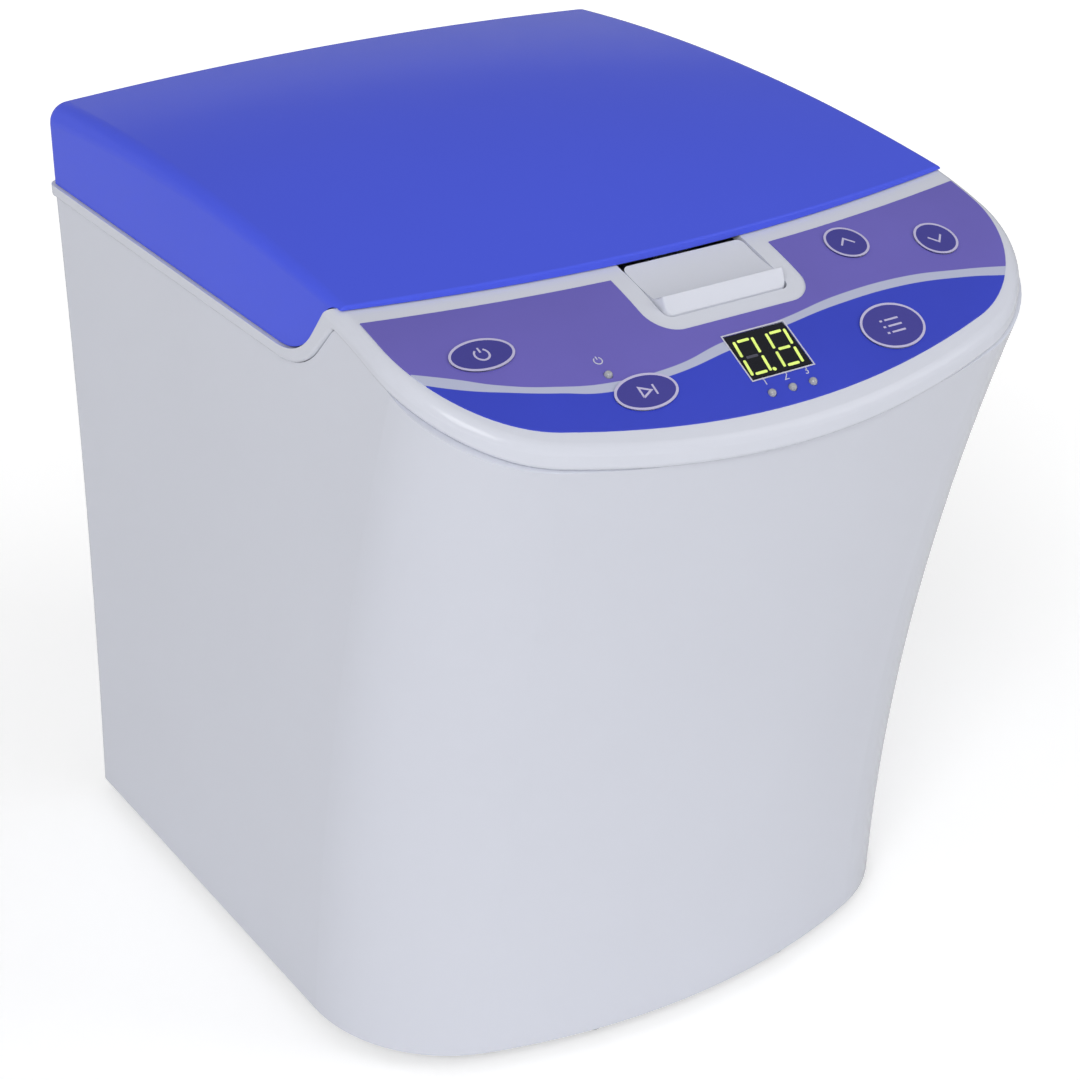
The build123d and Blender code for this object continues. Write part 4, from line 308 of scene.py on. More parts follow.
def rubber(name, colour):
    """Matt rubber with a dusty bloom."""
    material, tree, shader = new_material(name)
    bloom = ranged(tree, noise(tree, 70.0, 6.0), 0.45, 0.75, 0.0, 0.5)
    base = mixed(tree, bloom, colour, tuple(0.6 * c + 0.05 for c in colour))
    base = worn_edges(tree, base, tuple(c + 0.06 for c in colour), 0.4)
    tree.links.new(base, shader.inputs["Base Color"])
    tree.links.new(scuffed(tree, 0.72, 0.08, 120.0), shader.inputs["Roughness"])
    grained(tree, shader, 2200.0, 0.05)
    set_shader(shader, Sheen_Weight=0.12, Sheen_Roughness=0.5)
    return material


def solder_mask(name):
    """Green lacquered board with faint copper traces under the lacquer."""
    material, tree, shader = new_material(name)
    rows = {"Scale": 210.0, "Mortar_Size": 0.06, "Brick_Width": 1.6, "Row_Height": 0.5}
    cells = node_at(tree, "ShaderNodeTexBrick", **rows)
    cells.offset = 0.5
    tree.links.new(object_space(tree), cells.inputs["Vector"])
    base = mixed(tree, cells.outputs["Fac"], BOARD_DARK, BOARD_LIGHT)
    cloud = ranged(tree, noise(tree, 60.0, 4.0), 0.3, 0.7, 0.0, 0.35)
    base = mixed(tree, cloud, base, BOARD_CLOUD)
    tree.links.new(base, shader.inputs["Base Color"])
    tree.links.new(scuffed(tree, 0.3, 0.06, 80.0), shader.inputs["Roughness"])
    grained(tree, shader, 900.0, 0.03)
    return material


# ---------------------------------------------------------------- printed film
FILM_EDGE = 130.0         # half width of the printed field
PRINT_LOW = -150.0        # the field's front and rear limits in Y
PRINT_HIGH = -100.0
INK_EDGE = 0.12           # softness of the ink's edge
STRIPE_TOP = [            # rear edge of the pale stripe
    (-130, -112.8), (-112.4, -121.2), (-98.3, -128.2), (-82.5, -133.3), (-61.0, -137.3),
    (-38.1, -137.5), (-13.9, -133.6), (15.2, -130.7), (41.8, -127.3), (69.5, -126.9),
    (95.1, -130.1), (114.4, -133.6), (130, -137.2),
]
STRIPE_LOW = [            # and its front edge
    (-130, -116.0), (-112.3, -126.0), (-97.1, -131.5), (-81.3, -136.2), (-61.7, -140.5),
    (-37.7, -140.2), (-14.1, -137.2), (14.3, -133.5), (39.0, -130.9), (66.8, -130.3),
    (93.1, -133.2), (111.8, -137.0), (130, -140.8),
]


def boundary(tree, name, points):
    """1 behind a printed boundary and 0 in front of it; points give its y over x."""
    place = tree.nodes.new("ShaderNodeSeparateXYZ")
    tree.links.new(object_space(tree), place.inputs[0])
    across = ranged(tree, place.outputs["X"], -FILM_EDGE * MM, FILM_EDGE * MM, 0.0, 1.0)
    curve = tree.nodes.new("ShaderNodeFloatCurve")
    curve.label = name
    line = curve.mapping.curves[0]
    width, depth = 2 * FILM_EDGE, PRINT_HIGH - PRINT_LOW
    shares = [((x + FILM_EDGE) / width, (y - PRINT_LOW) / depth) for x, y in points]
    line.points[0].location = shares[0]
    line.points[1].location = shares[-1]
    for share in shares[1:-1]:
        line.points.new(*share)
    curve.mapping.update()
    tree.links.new(across, curve.inputs["Value"])
    height = ranged(tree, curve.outputs["Value"], 0.0, 1.0, PRINT_LOW * MM, PRINT_HIGH * MM)
    above = combined(tree, "SUBTRACT", place.outputs["Y"], height)
    return ranged(tree, above, -INK_EDGE * MM, INK_EDGE * MM, 0.0, 1.0)


def printed_film(name):
    """Satin film: violet above a pale wavy stripe, royal blue below it."""
    material, tree, shader = new_material(name)
    fade = ranged(tree, noise(tree, 16.0, 4.0), 0.3, 0.7, 0.0, 1.0)
    upper = mixed(tree, fade, shade(FILM_UPPER, 0.95), shade(FILM_UPPER, 1.05))
    lower = mixed(tree, fade, shade(FILM_LOWER, 0.95), shade(FILM_LOWER, 1.05))
    base = mixed(tree, boundary(tree, "stripe_low", STRIPE_LOW), lower, FILM_STRIPE)
    base = mixed(tree, boundary(tree, "stripe_top", STRIPE_TOP), base, upper)
    tree.links.new(base, shader.inputs["Base Color"])
    tree.links.new(scuffed(tree, 0.36, 0.05, 50.0), shader.inputs["Roughness"])
    grained(tree, shader, 2600.0, 0.012)
    set_shader(shader, Specular_IOR_Level=0.3)
    return material


def glowing(name, colour, strength):
    """A lit segment: coloured light behind a diffusing lens, slightly uneven."""
    material, tree, shader = new_material(name)
    uneven = ranged(tree, noise(tree, 320.0, 2.0), 0.3, 0.7, 0.0, 1.0)
    base = mixed(tree, uneven, shade(colour, 0.88), shade(colour, 1.1))
    tree.links.new(base, shader.inputs["Base Color"])
    tree.links.new(base, shader.inputs["Emission Color"])
    tree.links.new(scuffed(tree, 0.4, 0.04, 200.0), shader.inputs["Roughness"])
    grained(tree, shader, 3000.0, 0.01)
    set_shader(shader, Emission_Strength=strength)
    return material


def lens(name, colour):
    """Milky lens of an unlit lamp."""
    material, tree, shader = new_material(name)
    milky = ranged(tree, noise(tree, 700.0, 2.0), 0.3, 0.7, 0.0, 1.0)
    base = mixed(tree, milky, shade(colour, 0.85), shade(colour, 1.1))
    tree.links.new(base, shader.inputs["Base Color"])
    tree.links.new(scuffed(tree, 0.18, 0.03, 300.0), shader.inputs["Roughness"])
    grained(tree, shader, 1800.0, 0.01)
    set_shader(shader, Transmission_Weight=0.25, Coat_Weight=0.5, Coat_Roughness=0.05)
    return material


MATERIALS = {
    "case_white": plastic(
        "case_white", CASE, rough=0.15, vary=0.008, grain=1700.0, depth=0.008, gloss=0.28, wave=0.05
    ),
    "lid_blue": plastic(
        "lid_blue", LID, rough=0.17, vary=0.012, grain=1500.0, depth=0.008, gloss=0.1, wave=0.05
    ),
    "film_violet": printed_film("film_violet"),
    "key_violet": plastic("key_violet", KEY_FILL, rough=0.38, vary=0.05, grain=2600.0, worn=0.03),
    "display_dark": plastic(
        "display_dark", DISPLAY_DARK, rough=0.16, vary=0.1, depth=0.005, gloss=0.5
    ),
    "led_lens": lens("led_lens", LAMP_LENS),
    "board_green": solder_mask("board_green"),
    "black_plastic": plastic(
        "black_plastic", BLACK, rough=0.45, vary=0.12, grain=900.0, depth=0.04
    ),
    "tub_grey": plastic("tub_grey", TUB, rough=0.34, vary=0.03, wave=0.1),
    "cup_white": plastic("cup_white", CUP, rough=0.24, vary=0.02, gloss=0.5),
    "soft_rubber": rubber("soft_rubber", BLACK),
    "seal_rubber": rubber("seal_rubber", SEAL_GREY),
    "steel": metal("steel", STEEL, rough=0.26, brushed=(1, 1, 12)),
    "zinc_steel": metal("zinc_steel", ZINC, rough=0.34, grain=260.0),
    "cast_alloy": metal("cast_alloy", ALLOY, rough=0.46, grain=700.0, depth=0.09),
    "motor_paint": painted("motor_paint", MOTOR_PAINT),
    "core_steel": painted("core_steel", CORE_STEEL),
}
KEY_PRINT = plastic("key_print", KEY_LINE, rough=0.4, vary=0.04, worn=0.0)
WHITE_PRINT = plastic("white_print", PALE_INK, rough=0.42, vary=0.04, worn=0.0)
SEGMENT_ON = glowing("segment_on", SEGMENT_LIT, SEGMENT_GLOW)
SEGMENT_OFF = plastic("segment_off", SEGMENT_DIM, rough=0.35, vary=0.08, worn=0.0)
# painted shade: near-black plates that stand for the shade in the screws' cross recesses, built
# with the stove paint shader
RECESS_SHADE_MATERIAL = painted("cross_recess_painted_shade", PAINTED_RECESS_SHADE)

for row in frame["record"]["subparts"]:
    carried = frame["nodes"][row["node"]]
    carried.data.materials.clear()
    carried.data.materials.append(MATERIALS[row["material_slot"]])


# ================================================================ mesh pieces
def finished(name, mesh, body, slot, material, smooth=None):
    """Turns a bmesh into a piece that rides on a body."""
    bmesh.ops.recalc_face_normals(mesh, faces=mesh.faces)
    data = bpy.data.meshes.new(name)
    mesh.to_mesh(data)
    mesh.free()
    piece = bpy.data.objects.new(name, data)
    bpy.context.scene.collection.objects.link(piece)
    data.materials.append(material or MATERIALS[slot])
    if smooth is not None:
        data.shade_smooth()
        data.set_sharp_from_angle(angle=math.radians(smooth))
    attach(piece, body)
    return piece


def panel_place(x, y, lift):
    """A point on the panel's cylinder, lifted along its normal."""
    lean = math.asin((PANEL_Y - y) / PANEL_R)
    reach = PANEL_R + lift
    return Vector((x, PANEL_Y - reach * math.sin(lean), PANEL_Z + reach * math.cos(lean)))


def tangent_place(x, y):
    """Maps (u, v, lift) on the plane that touches the panel at (x, y)."""
    lean = math.asin((PANEL_Y - y) / PANEL_R)
    along = Vector((0, math.cos(lean), math.sin(lean)))
    normal = Vector((0, -math.sin(lean), math.cos(lean)))
    middle = panel_place(x, y, 0)
    return lambda u, v, lift: middle + Vector((u, 0, 0)) + v * along + lift * normal


def add_plate(mesh, outline, place, low, high):
    """Adds a flat plate with the given outline between two heights."""
    rings = [[mesh.verts.new(place(u, v, h) * MM) for u, v in outline] for h in (low, high)]
    count = len(outline)
    mesh.faces.new(rings[0])
    mesh.faces.new(rings[1])
    for i in range(count):
        j = (i + 1) % count
        mesh.faces.new((rings[0][i], rings[0][j], rings[1][j], rings[1][i]))


SHARPEST_MITRE = 0.4      # limits how far the corner of a line sticks out


def add_line(mesh, points, width, place, low, high, closed=False):
    """Adds a raised printed line that follows points, with mitred corners."""
    count = len(points)
    sides = []
    for i, point in enumerate(points):
        here = Vector(point)
        before = Vector(points[(i - 1) % count]) if closed or i else None
        after = Vector(points[(i + 1) % count]) if closed or i < count - 1 else None
        spans = ((before, here), (here, after))
        runs = [(b - a).normalized() for a, b in spans if a is not None and b is not None]
        run = sum(runs, Vector((0, 0))).normalized()
        across = Vector((-run.y, run.x))
        mitre = max(SHARPEST_MITRE, abs(across.dot(Vector((-runs[0].y, runs[0].x)))))
        half = across * (width / 2 / mitre)
        corners = [(here - half, low), (here - half, high), (here + half, high), (here + half, low)]
        sides.append([mesh.verts.new(place(p.x, p.y, h) * MM) for p, h in corners])
    last = count if closed else count - 1
    for i in range(last):
        a, b = sides[i], sides[(i + 1) % count]
        for k in range(4):
            mesh.faces.new((a[k], a[(k + 1) % 4], b[(k + 1) % 4], b[k]))
    if not closed:
        mesh.faces.new(sides[0])
        mesh.faces.new(sides[-1])


def arc(x, y, radius, start, end, steps=24):
    """Points of an arc from one angle to another, in degrees."""
    angles = [math.radians(start + (end - start) * i / steps) for i in range(steps + 1)]
    return [(x + radius * math.cos(a), y + radius * math.sin(a)) for a in angles]


def add_lathe(mesh, profile, place, steps=96):
    """Adds a closed (radius, height) profile turned about an axis."""
    count = len(profile)
    rings = []
    for i in range(steps):
        turn = 2 * math.pi * i / steps
        ring = [place(r * math.cos(turn), r * math.sin(turn), h) * MM for r, h in profile]
        rings.append([mesh.verts.new(p) for p in ring])
    for i in range(steps):
        a, b = rings[i], rings[(i + 1) % steps]
        for k in range(count):
            mesh.faces.new((a[k], a[(k + 1) % count], b[(k + 1) % count], b[k]))


def add_sweep(mesh, stations, profile, closed):
    """Adds a closed profile carried along stations of (origin, side, up)."""
    rings = []
    for origin, side, up in stations:
        rings.append([mesh.verts.new((origin + side * s + up * h) * MM) for s, h in profile])
    count = len(profile)
    last = len(rings) if closed else len(rings) - 1
    for i in range(last):
        a, b = rings[i], rings[(i + 1) % len(rings)]
        for k in range(count):
            mesh.faces.new((a[k], a[(k + 1) % count], b[(k + 1) % count], b[k]))
    if not closed:
        mesh.faces.new(rings[0])
        mesh.faces.new(rings[-1])


def upright_at(x, y, z):
    """Maps (u, v, h) along the axes of the CAD from a point."""
    return lambda u, v, h: Vector((x + u, y + v, z + h))


def on_cup_axis(u, v, h):
    """A point given along the tilted cup's axis, from the cup's centre."""
    tilt = Matrix.Rotation(math.radians(-CUP_TILT), 3, "Y")
    return tilt @ Vector((u, v, h)) + Vector(CUP_CENTRE)


# ---------------------------------------------------------------- key outlines and icons
LINE = 0.9                # printed outline of the keys
STROKE = 0.75             # strokes of the icons
INK = 0.05                # the print stands this far above what carries it
RING_SIDES = 72


def power_icon(size):
    """An open ring with an upright stroke."""
    ring = arc(0, 0, size, 125, 415)
    return [ring, [(0, size * 0.35), (0, size * 1.25)]]


def play_icon(size):
    """A triangle that points at a bar."""
    triangle = [(-size, -size), (-size, size), (size * 0.9, 0), (-size, -size)]
    return [triangle, [(size * 1.6, -size), (size * 1.6, size)]]


def arrow_icon(size, way):
    """An arrowhead that points up (way 1) or down (way -1)."""
    return [[(-size, -0.4 * way * size), (0, 0.7 * way * size), (size, -0.4 * way * size)]]


def list_icon(size):
    """Three rows, each a dash behind a dot."""
    rows = []
    for v in (-1.0, 0.0, 1.0):
        rows.append([(-size * 0.55, v * size * 0.75), (size * 1.1, v * size * 0.75)])
        rows.append([(-size * 1.15, v * size * 0.75), (-size * 0.85, v * size * 0.75)])
    return rows


ICONS = {
    "key_power": power_icon(2.6),
    "key_start": play_icon(2.1),
    "key_up": arrow_icon(3.0, 1),
    "key_down": arrow_icon(3.0, -1),
    "key_memory": list_icon(3.6),
}


def key_prints():
    """Outline ring and icon of each key, printed on the key itself."""
    for name, (x, y, a, b) in KEYS.items():
        place = tangent_place(x, y)
        top = FILM_T + KEY_PROUD
        mesh = bmesh.new()
        turns = [2 * math.pi * i / RING_SIDES for i in range(RING_SIDES)]
        outline = [(a * math.cos(t), b * math.sin(t)) for t in turns]
        add_line(mesh, outline, LINE, place, top - 2 * INK, top + INK, closed=True)
        for stroke in ICONS[name]:
            add_line(mesh, stroke, STROKE, place, top - INK, top + INK)
        finished(name + "_print", mesh, name, "key_violet", KEY_PRINT)


# ---------------------------------------------------------------- prints on the film
FIGURES = {
    1: [[(-0.5, 0.9), (0.1, 1.4), (0.1, -1.4)]],
    2: [arc(0, 0.7, 0.8, 160, -40, 10) + [(-0.8, -1.4), (0.9, -1.4)]],
    3: [arc(-0.1, 0.7, 0.7, 140, -90, 10) + arc(-0.1, -0.7, 0.7, 90, -140, 10)],
}
FIGURE_Y = -150.4         # line of figures over the lamps
FIGURE_STROKE = 0.35
WINDOW_LINE = 0.5         # printed frame of the display's window
WINDOW_GAP = 0.25         # from the window's edge to the middle of that line
SUPPLY_ICON = 1.5
SUPPLY_STROKE = 0.4
SUPPLY_RISE = 6.0         # from the supply lamp to its icon


def film_prints():
    """Window frame, figures over the lamps and the small supply icon."""
    mesh = bmesh.new()
    top = FILM_T
    window = tangent_place(0, DISPLAY_Y)
    w, h = WINDOW_HALF_WIDTH + WINDOW_GAP, WINDOW_HALF_HEIGHT + WINDOW_GAP
    corners = [(-w, -h), (w, -h), (w, h), (-w, h)]
    add_line(mesh, corners, WINDOW_LINE, window, top - INK, top + INK, closed=True)
    for i, strokes in FIGURES.items():
        place = tangent_place((i - 2) * LED_PITCH, FIGURE_Y)
        for stroke in strokes:
            add_line(mesh, stroke, FIGURE_STROKE, place, top - INK, top + INK)
    place = tangent_place(POWER_LED[0], POWER_LED[1] + SUPPLY_RISE)
    for stroke in power_icon(SUPPLY_ICON):
        add_line(mesh, stroke, SUPPLY_STROKE, place, top - INK, top + INK)
    finished("film_prints", mesh, "cabinet", "film_violet", WHITE_PRINT)


# ---------------------------------------------------------------- display segments
DIGIT_X = (-7.1, 6.6)     # middles of the two digits
DIGIT_RISE = -0.6         # and their height against the window's middle
DIGIT_HALF_WIDTH = 3.85   # middles of the upright bars
DIGIT_HALF_HEIGHT = 7.1
BAR = 1.1                 # width of a bar
BAR_BEVEL = 0.28          # bevel of its corners
BAR_TRIM = 1.4            # a level bar ends this far from the digit's corner
MIDDLE_TRIM = 0.7         # and an upright one this far from its waist
DIGIT_SLANT = 0.1         # shift to the right for each millimetre of height
BAR_DEPTH = 0.1           # a bar reaches this far into the display
POINT_X = 5.5             # decimal point, from the digit's middle
POINT_R = 0.75
SEGMENTS = {              # from corner to corner of a digit, in half widths and half heights
    "a": ((-1, 1), (1, 1)),
    "b": ((1, 1), (1, 0)),
    "c": ((1, 0), (1, -1)),
    "d": ((-1, -1), (1, -1)),
    "e": ((-1, 0), (-1, -1)),
    "f": ((-1, 1), (-1, 0)),
    "g": ((-1, 0), (1, 0)),
}
SHOWN = ("abcdef", "abcdefg")   # lit bars of the two digits


def bar_outline(first, second, middle):
    """A slanted bar with bevelled corners between two corners of a digit."""
    level = first[1] == second[1]
    ends = []
    for end, other in ((first, second), (second, first)):
        corner = Vector((end[0] * DIGIT_HALF_WIDTH, end[1] * DIGIT_HALF_HEIGHT))
        inward = Vector((other[0] - end[0], other[1] - end[1])).normalized()
        trim = BAR_TRIM if level else MIDDLE_TRIM if end[1] == 0 else -BAR / 4
        ends.append((corner + inward * trim, inward))
    outline = []
    for tip, inward in ends:
        side = Vector((-inward.y, inward.x)) * BAR / 2
        cut = side.normalized() * BAR_BEVEL
        back = tip + inward * BAR_BEVEL
        outline += [back - side, tip - side + cut, tip + side - cut, back + side]
    return [(middle + p.x + DIGIT_SLANT * p.y, p.y + DIGIT_RISE) for p in outline]


def display_digits():
    """Lit and unlit bars in the display's window, level with the film."""
    place = tangent_place(0, DISPLAY_Y)
    low = FILM_T - BAR_DEPTH
    lit, dim = bmesh.new(), bmesh.new()
    for middle, shown in zip(DIGIT_X, SHOWN):
        for name, (first, second) in SEGMENTS.items():
            target = lit if name in shown else dim
            add_plate(target, bar_outline(first, second, middle), place, low, FILM_T + INK)
    point_x = DIGIT_X[0] + POINT_X - DIGIT_SLANT * DIGIT_HALF_HEIGHT
    point = arc(point_x, DIGIT_RISE - DIGIT_HALF_HEIGHT, POINT_R, 0, 345, 23)
    add_plate(lit, point, place, low, FILM_T + INK)
    finished("display_lit", lit, "cabinet", "display_dark", SEGMENT_ON)
    finished("display_unlit", dim, "cabinet", "display_dark", SEGMENT_OFF)


# ---------------------------------------------------------------- soft and sprung parts
FOOT = [                  # (radius, height) from the hollow sole, round the rim, to the top
    (SHARP_TIP, 0.9), (5.0, 0.9), (5.7, 0.2), (6.4, 0.0), (8.4, 0.0), (9.2, 0.3), (9.7, 0.9),
    (10.6, 2.8), (10.4, 3.1), (10.7, 3.5), (11.1, 3.6), (FOOT_R, 5.2), (FOOT_R, BASE_Z),
    (SHARP_TIP, BASE_Z),
]


def feet():
    """Moulded rubber feet: soft lower edge, groove, tapered side and hollow sole."""
    mesh = bmesh.new()
    for x, y in FEET:
        add_lathe(mesh, FOOT, upright_at(x, y, 0), 64)
    piece = finished("moulded_feet", mesh, "cabinet", "soft_rubber", None, smooth=35)
    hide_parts("rubber_feet")


def seal():
    """Bulb seal with a flat foot, under the lid's liner."""
    inner, outer, high = SEAL_INNER, SEAL_OUTER, SEAL_HIGH
    middle = (inner + outer) / 2
    bulb, neck = 1.55, 0.9
    profile = [(inner + 0.2, high), (inner, high - 0.5), (inner, high - 1.0)]
    profile += [(middle - neck, high - 1.4)]
    profile += arc(middle, SEAL_LOW + bulb, bulb, 130, 410, 16)
    profile += [(middle + neck, high - 1.4)]
    profile += [(outer, high - 1.0), (outer, high - 0.5), (outer - 0.2, high)]
    mesh = bmesh.new()
    add_lathe(mesh, profile, upright_at(0, ROTOR_Y, 0), 160)
    piece = finished("bulb_seal", mesh, "lid", "seal_rubber", None, smooth=50)
    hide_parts("lid_seal")


def tyre():
    """Ribbed rubber tyre on the cup's holder."""
    bore, outer, low, high = TYRE_BORE, TYRE_OUTER, TYRE_LOW, TYRE_HIGH
    groove_r = outer - 0.55
    profile = [(bore, low), (outer - 0.8, low), (outer - 0.2, low + 0.35), (outer, low + 0.9)]
    for i in range(3):
        groove = low + 1.6 + i * 1.9
        profile += [(outer, groove - 0.4), (groove_r, groove - 0.15)]
        profile += [(groove_r, groove + 0.15), (outer, groove + 0.4)]
    profile += [(outer, high - 0.9), (outer - 0.2, high - 0.35), (outer - 0.8, high), (bore, high)]
    mesh = bmesh.new()
    add_lathe(mesh, profile, on_cup_axis, 128)
    piece = finished("ribbed_tyre", mesh, "holder", "soft_rubber", None, smooth=40)
    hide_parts("drive_tyre")


def spring():
    """Coil spring with closed end turns, round the button's stem."""
    length = SPRING_HIGH - SPRING_LOW
    radius = SPRING_OUTER - SPRING_WIRE - 0.05
    end_turns = 0.12          # share of the wire in each closed end
    stations = []
    steps = int(SPRING_TURNS * 28)
    for i in range(steps + 1):
        share = i / steps
        turn = 2 * math.pi * SPRING_TURNS * share
        rise = min(max((share - end_turns) / (1 - 2 * end_turns), 0.0), 1.0)
        z = SPRING_LOW + SPRING_WIRE + (length - 2 * SPRING_WIRE) * rise
        outward = Vector((math.cos(turn), math.sin(turn), 0))
        stations.append((Vector((0, GUIDE_Y, z)) + outward * radius, outward, Vector((0, 0, 1))))
    mesh = bmesh.new()
    add_sweep(mesh, stations, arc(0, 0, SPRING_WIRE, 0, 330, 11), closed=False)
    piece = finished("coil_spring", mesh, "cabinet", "steel", None, smooth=60)
    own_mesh(piece)
    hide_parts("button_spring")


def belt_stations(radius_big, radius_small, steps):
    """Points of the belt's path with their outward directions."""
    span = ROTOR_Y - MOTOR_Y
    turn = math.asin((radius_big - radius_small) / span)
    stations = []
    for centre, radius, start, end in (
        (ROTOR_Y, radius_big, -turn, math.pi + turn),
        (MOTOR_Y, radius_small, math.pi + turn, 2 * math.pi - turn),
    ):
        for i in range(steps + 1):
            angle = start + (end - start) * i / steps
            outward = Vector((math.cos(angle), math.sin(angle), 0))
            stations.append((Vector((0, centre, 0)) + outward * radius, outward, Vector((0, 0, 1))))
    return stations


def belt():
    """Poly-vee belt: flat back with soft edges, ribs towards the pulleys."""
    thick, low, high = BELT_THICK, BELT_LOW, BELT_HIGH
    profile = [(0.5, low), (thick - 0.3, low), (thick, low + 0.4)]
    profile += [(thick, high - 0.4), (thick - 0.3, high), (0.5, high)]
    pitch = (high - low) / BELT_RIBS
    for i in range(BELT_RIBS):
        top = high - i * pitch
        profile += [(0.0, top - 0.35), (0.0, top - pitch + 0.75), (0.75, top - pitch + 0.2)]
    profile.pop()
    mesh = bmesh.new()
    add_sweep(mesh, belt_stations(BELT_BIG_R, BELT_SMALL_R, 48), profile, closed=True)
    piece = finished("ribbed_belt", mesh, "cabinet", "soft_rubber", None, smooth=30)
    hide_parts("drive_belt")


# ---------------------------------------------------------------- screws
BASE_SCREW = [            # (radius, height) from the middle of the head, which points down
    (SHARP_TIP, -1.2), (1.2, -1.2), (2.3, -1.0), (2.85, -0.6), (3.0, -0.2), (3.0, 0.0),
    (1.5, 0.0), (1.5, 7.1), (1.1, 7.5), (SHARP_TIP, 7.5),
]
LEAF_SCREW = [            # (radius, height) from the thread's end to the middle of the head
    (SHARP_TIP, -4.1), (1.5, -4.1), (1.5, 0.0), (3.0, 0.0), (3.0, 0.4), (2.6, 0.8),
    (1.3, 1.0), (SHARP_TIP, 1.0),
]
CROSS_ARM = 1.1           # half length of the cross recess
CROSS_HALF = 0.3          # half width of its arms
CROSS_DEPTH = 0.3
CROSS_PROUD = 0.02        # its face of painted shade stands this far above the head


def domed_screws():
    """Low domed screws of the base and of the frame's hinge leaves."""
    mesh = bmesh.new()
    for x, y in BASE_SCREWS:
        add_lathe(mesh, BASE_SCREW, upright_at(x, y, BASE_Z), 40)
    for x in LEAF_SCREW_X:
        place = lambda u, v, h, x=x: Vector((x + u, LEAF_FACE_Y + h, LEAF_SCREW_Z["cabinet"] + v))
        add_lathe(mesh, LEAF_SCREW, place, 40)
    piece = finished("domed_screws", mesh, "cabinet", "steel", None, smooth=35)
    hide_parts("case_screws")


def cross_outline():
    """Outline of a cross recess."""
    arm, half = CROSS_ARM, CROSS_HALF
    outline = [(arm, -half), (arm, half), (half, half)]
    outline += [(half, arm), (-half, arm), (-half, half)]
    outline += [(-arm, half), (-arm, -half), (-half, -half)]
    outline += [(-half, -arm), (half, -arm), (half, -half)]
    return outline


def paint_recess_shades():
    """Cross recesses of the screws in the hinge leaves, as dark plates of painted shade."""
    for body, z in LEAF_SCREW_Z.items():
        node = "case_screws" if body == "cabinet" else "lid_screws"
        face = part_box(node)[1].y / MM
        mesh = bmesh.new()
        for x in LEAF_SCREW_X:
            place = lambda u, v, h, x=x, z=z: Vector((x + u, face + h, z + v))
            add_plate(mesh, cross_outline(), place, -CROSS_DEPTH, CROSS_PROUD)
        finished(body + "_painted_shade_crosses", mesh, body, "steel", RECESS_SHADE_MATERIAL)


key_prints()
film_prints()
display_digits()
feet()
seal()
tyre()
spring()
belt()
domed_screws()
paint_recess_shades()


# ================================================================ stage
PAPER = (0.9, 0.9, 0.9)
NEAR_FLOOR = 0.3          # distance from the middle where the floor starts to brighten
FAR_FLOOR = 1.3
NEAR_LIFT = 0.34          # own light that the camera sees on the floor near the machine
FAR_LIFT = 0.62           # and far from it
SWEEP_HALF = 9.0          # half width of the paper
SWEEP_DEPTH = 7.0         # from the middle to where it turns up
SWEEP_BEND = 3.0          # radius of that bend
SWEEP_RISE = 0.5          # straight part above it
BEND_STEPS = 12
SKY_LEVEL = 0.42          # soft light from all round
SKY_HORIZON = 0.22        # what glossy surfaces mirror instead, low down
SKY_ZENITH = 0.15         # and higher up
HORIZON_TOP = 0.15        # sine of the height where the horizon starts to darken
ZENITH_LOW = 0.5          # and where it has become the zenith
AIM = (0, 0, 0.15)        # the lamps point here
LAMPS = {                 # place, size and power of each
    "key_light": ((-3.5, -3.7, 3.45), (3.2, 3.2), 174.0),
    "side_light": ((1.6, -1.6, 1.4), (1.0, 1.8), 10.0),
}


def stage_material(name, colour):
    """Pale paper with a faint fibre, brightened for the camera only, more so far away."""
    material, tree, shader = new_material(name)
    cloud = ranged(tree, noise(tree, 3.0, 3.0), 0.3, 0.7, 0.0, 1.0)
    base = mixed(tree, cloud, shade(colour, 0.99), shade(colour, 1.01))
    tree.links.new(base, shader.inputs["Base Color"])
    set_shader(shader, Roughness=0.9, Specular_IOR_Level=0.1)
    seen = seen_directly(tree)
    away = tree.nodes.new("ShaderNodeVectorMath")
    away.operation = "LENGTH"
    tree.links.new(object_space(tree), away.inputs[0])
    lift = ranged(tree, away.outputs["Value"], NEAR_FLOOR, FAR_FLOOR, NEAR_LIFT, FAR_LIFT)
    glow = combined(tree, "MULTIPLY", seen, lift)
    tree.links.new(glow, shader.inputs["Emission Strength"])
    shader.inputs["Emission Color"].default_value = (1, 1, 1, 1)
    return material


def floor():
    """A paper sweep: flat under the machine, turned up far behind it."""
    mesh = bmesh.new()
    depth, bend = SWEEP_DEPTH, SWEEP_BEND
    line = [(-depth, 0.0), (depth, 0.0)]
    for i in range(1, BEND_STEPS + 1):
        angle = math.pi / 2 * i / BEND_STEPS
        line.append((depth + bend * math.sin(angle), bend * (1 - math.cos(angle))))
    line.append((depth + bend, bend + SWEEP_RISE))
    rows = [[mesh.verts.new((x, y, z)) for x in (-SWEEP_HALF, SWEEP_HALF)] for y, z in line]
    for low, high in zip(rows, rows[1:]):
        mesh.faces.new((low[0], low[1], high[1], high[0]))
    data = bpy.data.meshes.new("paper_sweep")
    mesh.to_mesh(data)
    mesh.free()
    sweep = bpy.data.objects.new("paper_sweep", data)
    bpy.context.scene.collection.objects.link(sweep)
    data.materials.append(stage_material("paper", PAPER))
    data.shade_smooth()


def soft_light(name, at, size, power):
    """A rectangular white lamp that points at the machine."""
    light = bpy.data.lights.new(name, "AREA")
    light.shape = "RECTANGLE"
    light.size, light.size_y = size
    light.energy = power
    lamp = bpy.data.objects.new(name, light)
    lamp.location = at
    lamp.rotation_mode = "QUATERNION"
    lamp.rotation_quaternion = (Vector(AIM) - Vector(at)).to_track_quat("-Z", "Y")
    bpy.context.scene.collection.objects.link(lamp)


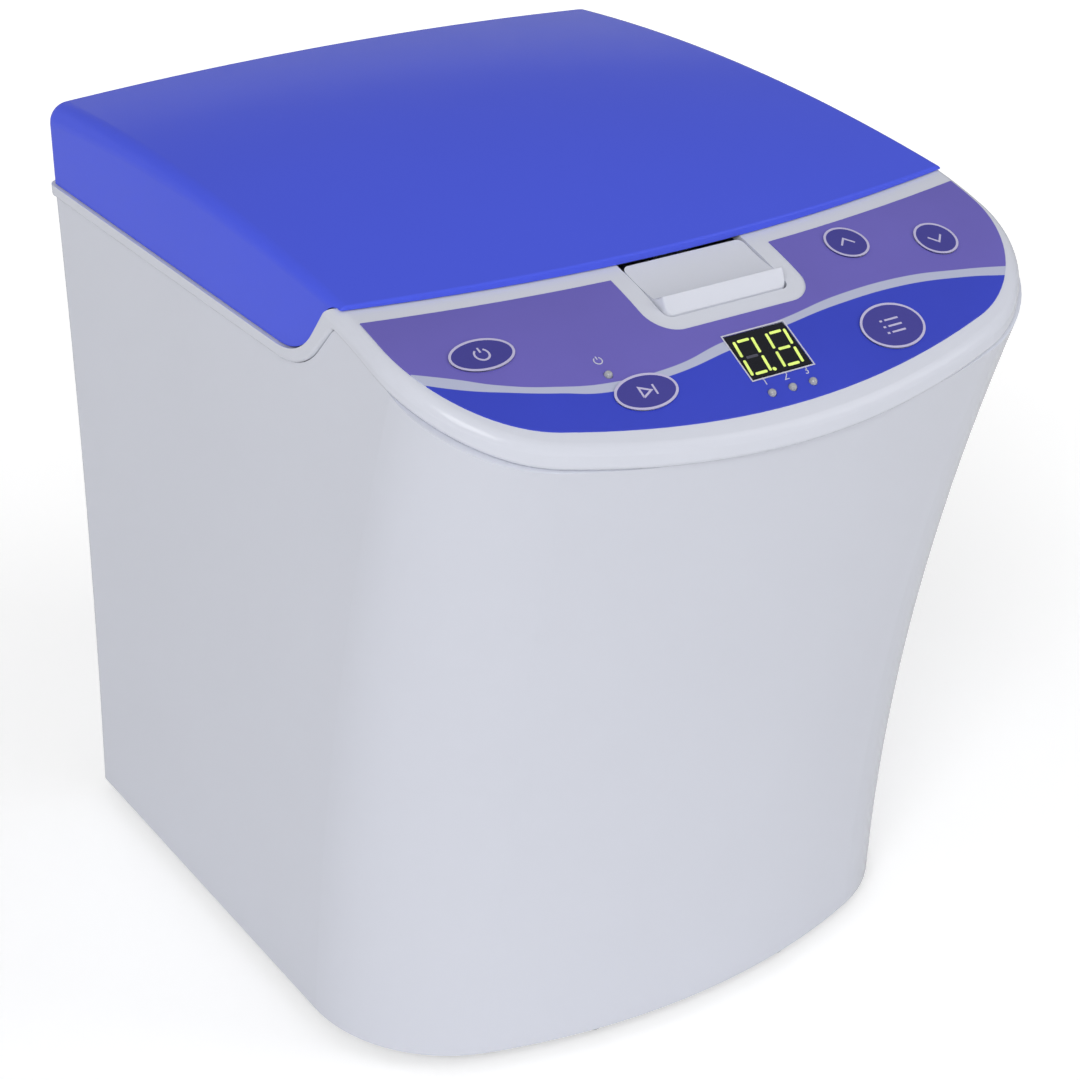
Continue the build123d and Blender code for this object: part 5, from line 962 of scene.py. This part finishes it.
def surroundings():
    """Even soft light; the camera sees plain white, reflections a dimmer sky."""
    world = bpy.data.worlds.new("studio")
    bpy.context.scene.world = world
    world.use_nodes = True
    tree = world.node_tree
    tree.nodes.clear()
    result = tree.nodes.new("ShaderNodeOutputWorld")
    path = tree.nodes.new("ShaderNodeLightPath")
    place = tree.nodes.new("ShaderNodeTexCoord")
    way = tree.nodes.new("ShaderNodeSeparateXYZ")
    tree.links.new(place.outputs["Generated"], way.inputs[0])
    sky = node_at(tree, "ShaderNodeBackground", Color=(1, 1, 1, 1))
    height = way.outputs["Z"]
    mirrored = ranged(tree, height, HORIZON_TOP, ZENITH_LOW, SKY_HORIZON, SKY_ZENITH)
    dimmer = combined(tree, "SUBTRACT", mirrored, SKY_LEVEL)
    glossy = combined(tree, "MULTIPLY", path.outputs["Is Glossy Ray"], dimmer)
    tree.links.new(combined(tree, "ADD", glossy, SKY_LEVEL), sky.inputs["Strength"])
    seen = node_at(tree, "ShaderNodeBackground", Color=(1, 1, 1, 1), Strength=1.0)
    mix = tree.nodes.new("ShaderNodeMixShader")
    tree.links.new(seen_directly(tree), mix.inputs[0])
    tree.links.new(sky.outputs[0], mix.inputs[1])
    tree.links.new(seen.outputs[0], mix.inputs[2])
    tree.links.new(mix.outputs[0], result.inputs["Surface"])


def photo_camera():
    """Camera at the photograph's place, direction and angle of view."""
    turn, down, roll = CAMERA_TURN, CAMERA_DOWN, CAMERA_ROLL
    flat = math.cos(down)
    forward = Vector((math.sin(turn) * flat, math.cos(turn) * flat, -math.sin(down)))
    level = Vector((math.cos(turn), -math.sin(turn), 0))
    rise = level.cross(forward)
    right = math.cos(roll) * level + math.sin(roll) * rise
    up = -math.sin(roll) * level + math.cos(roll) * rise
    data = bpy.data.cameras.new("camera")
    data.sensor_width = SENSOR
    data.lens = SENSOR * FOCAL_PIXELS / PICTURE
    data.clip_start, data.clip_end = CLIP
    camera = bpy.data.objects.new("camera", data)
    turned = Matrix((right, up, -forward)).transposed().to_4x4()
    camera.matrix_world = Matrix.Translation(Vector(CAMERA_AT) * MM) @ turned
    bpy.context.scene.collection.objects.link(camera)
    bpy.context.scene.camera = camera


floor()
surroundings()
for lamp_name, (spot, extent, watts) in LAMPS.items():
    soft_light(lamp_name, spot, extent, watts)
photo_camera()
bpy.context.scene.view_settings.view_transform = "Standard"
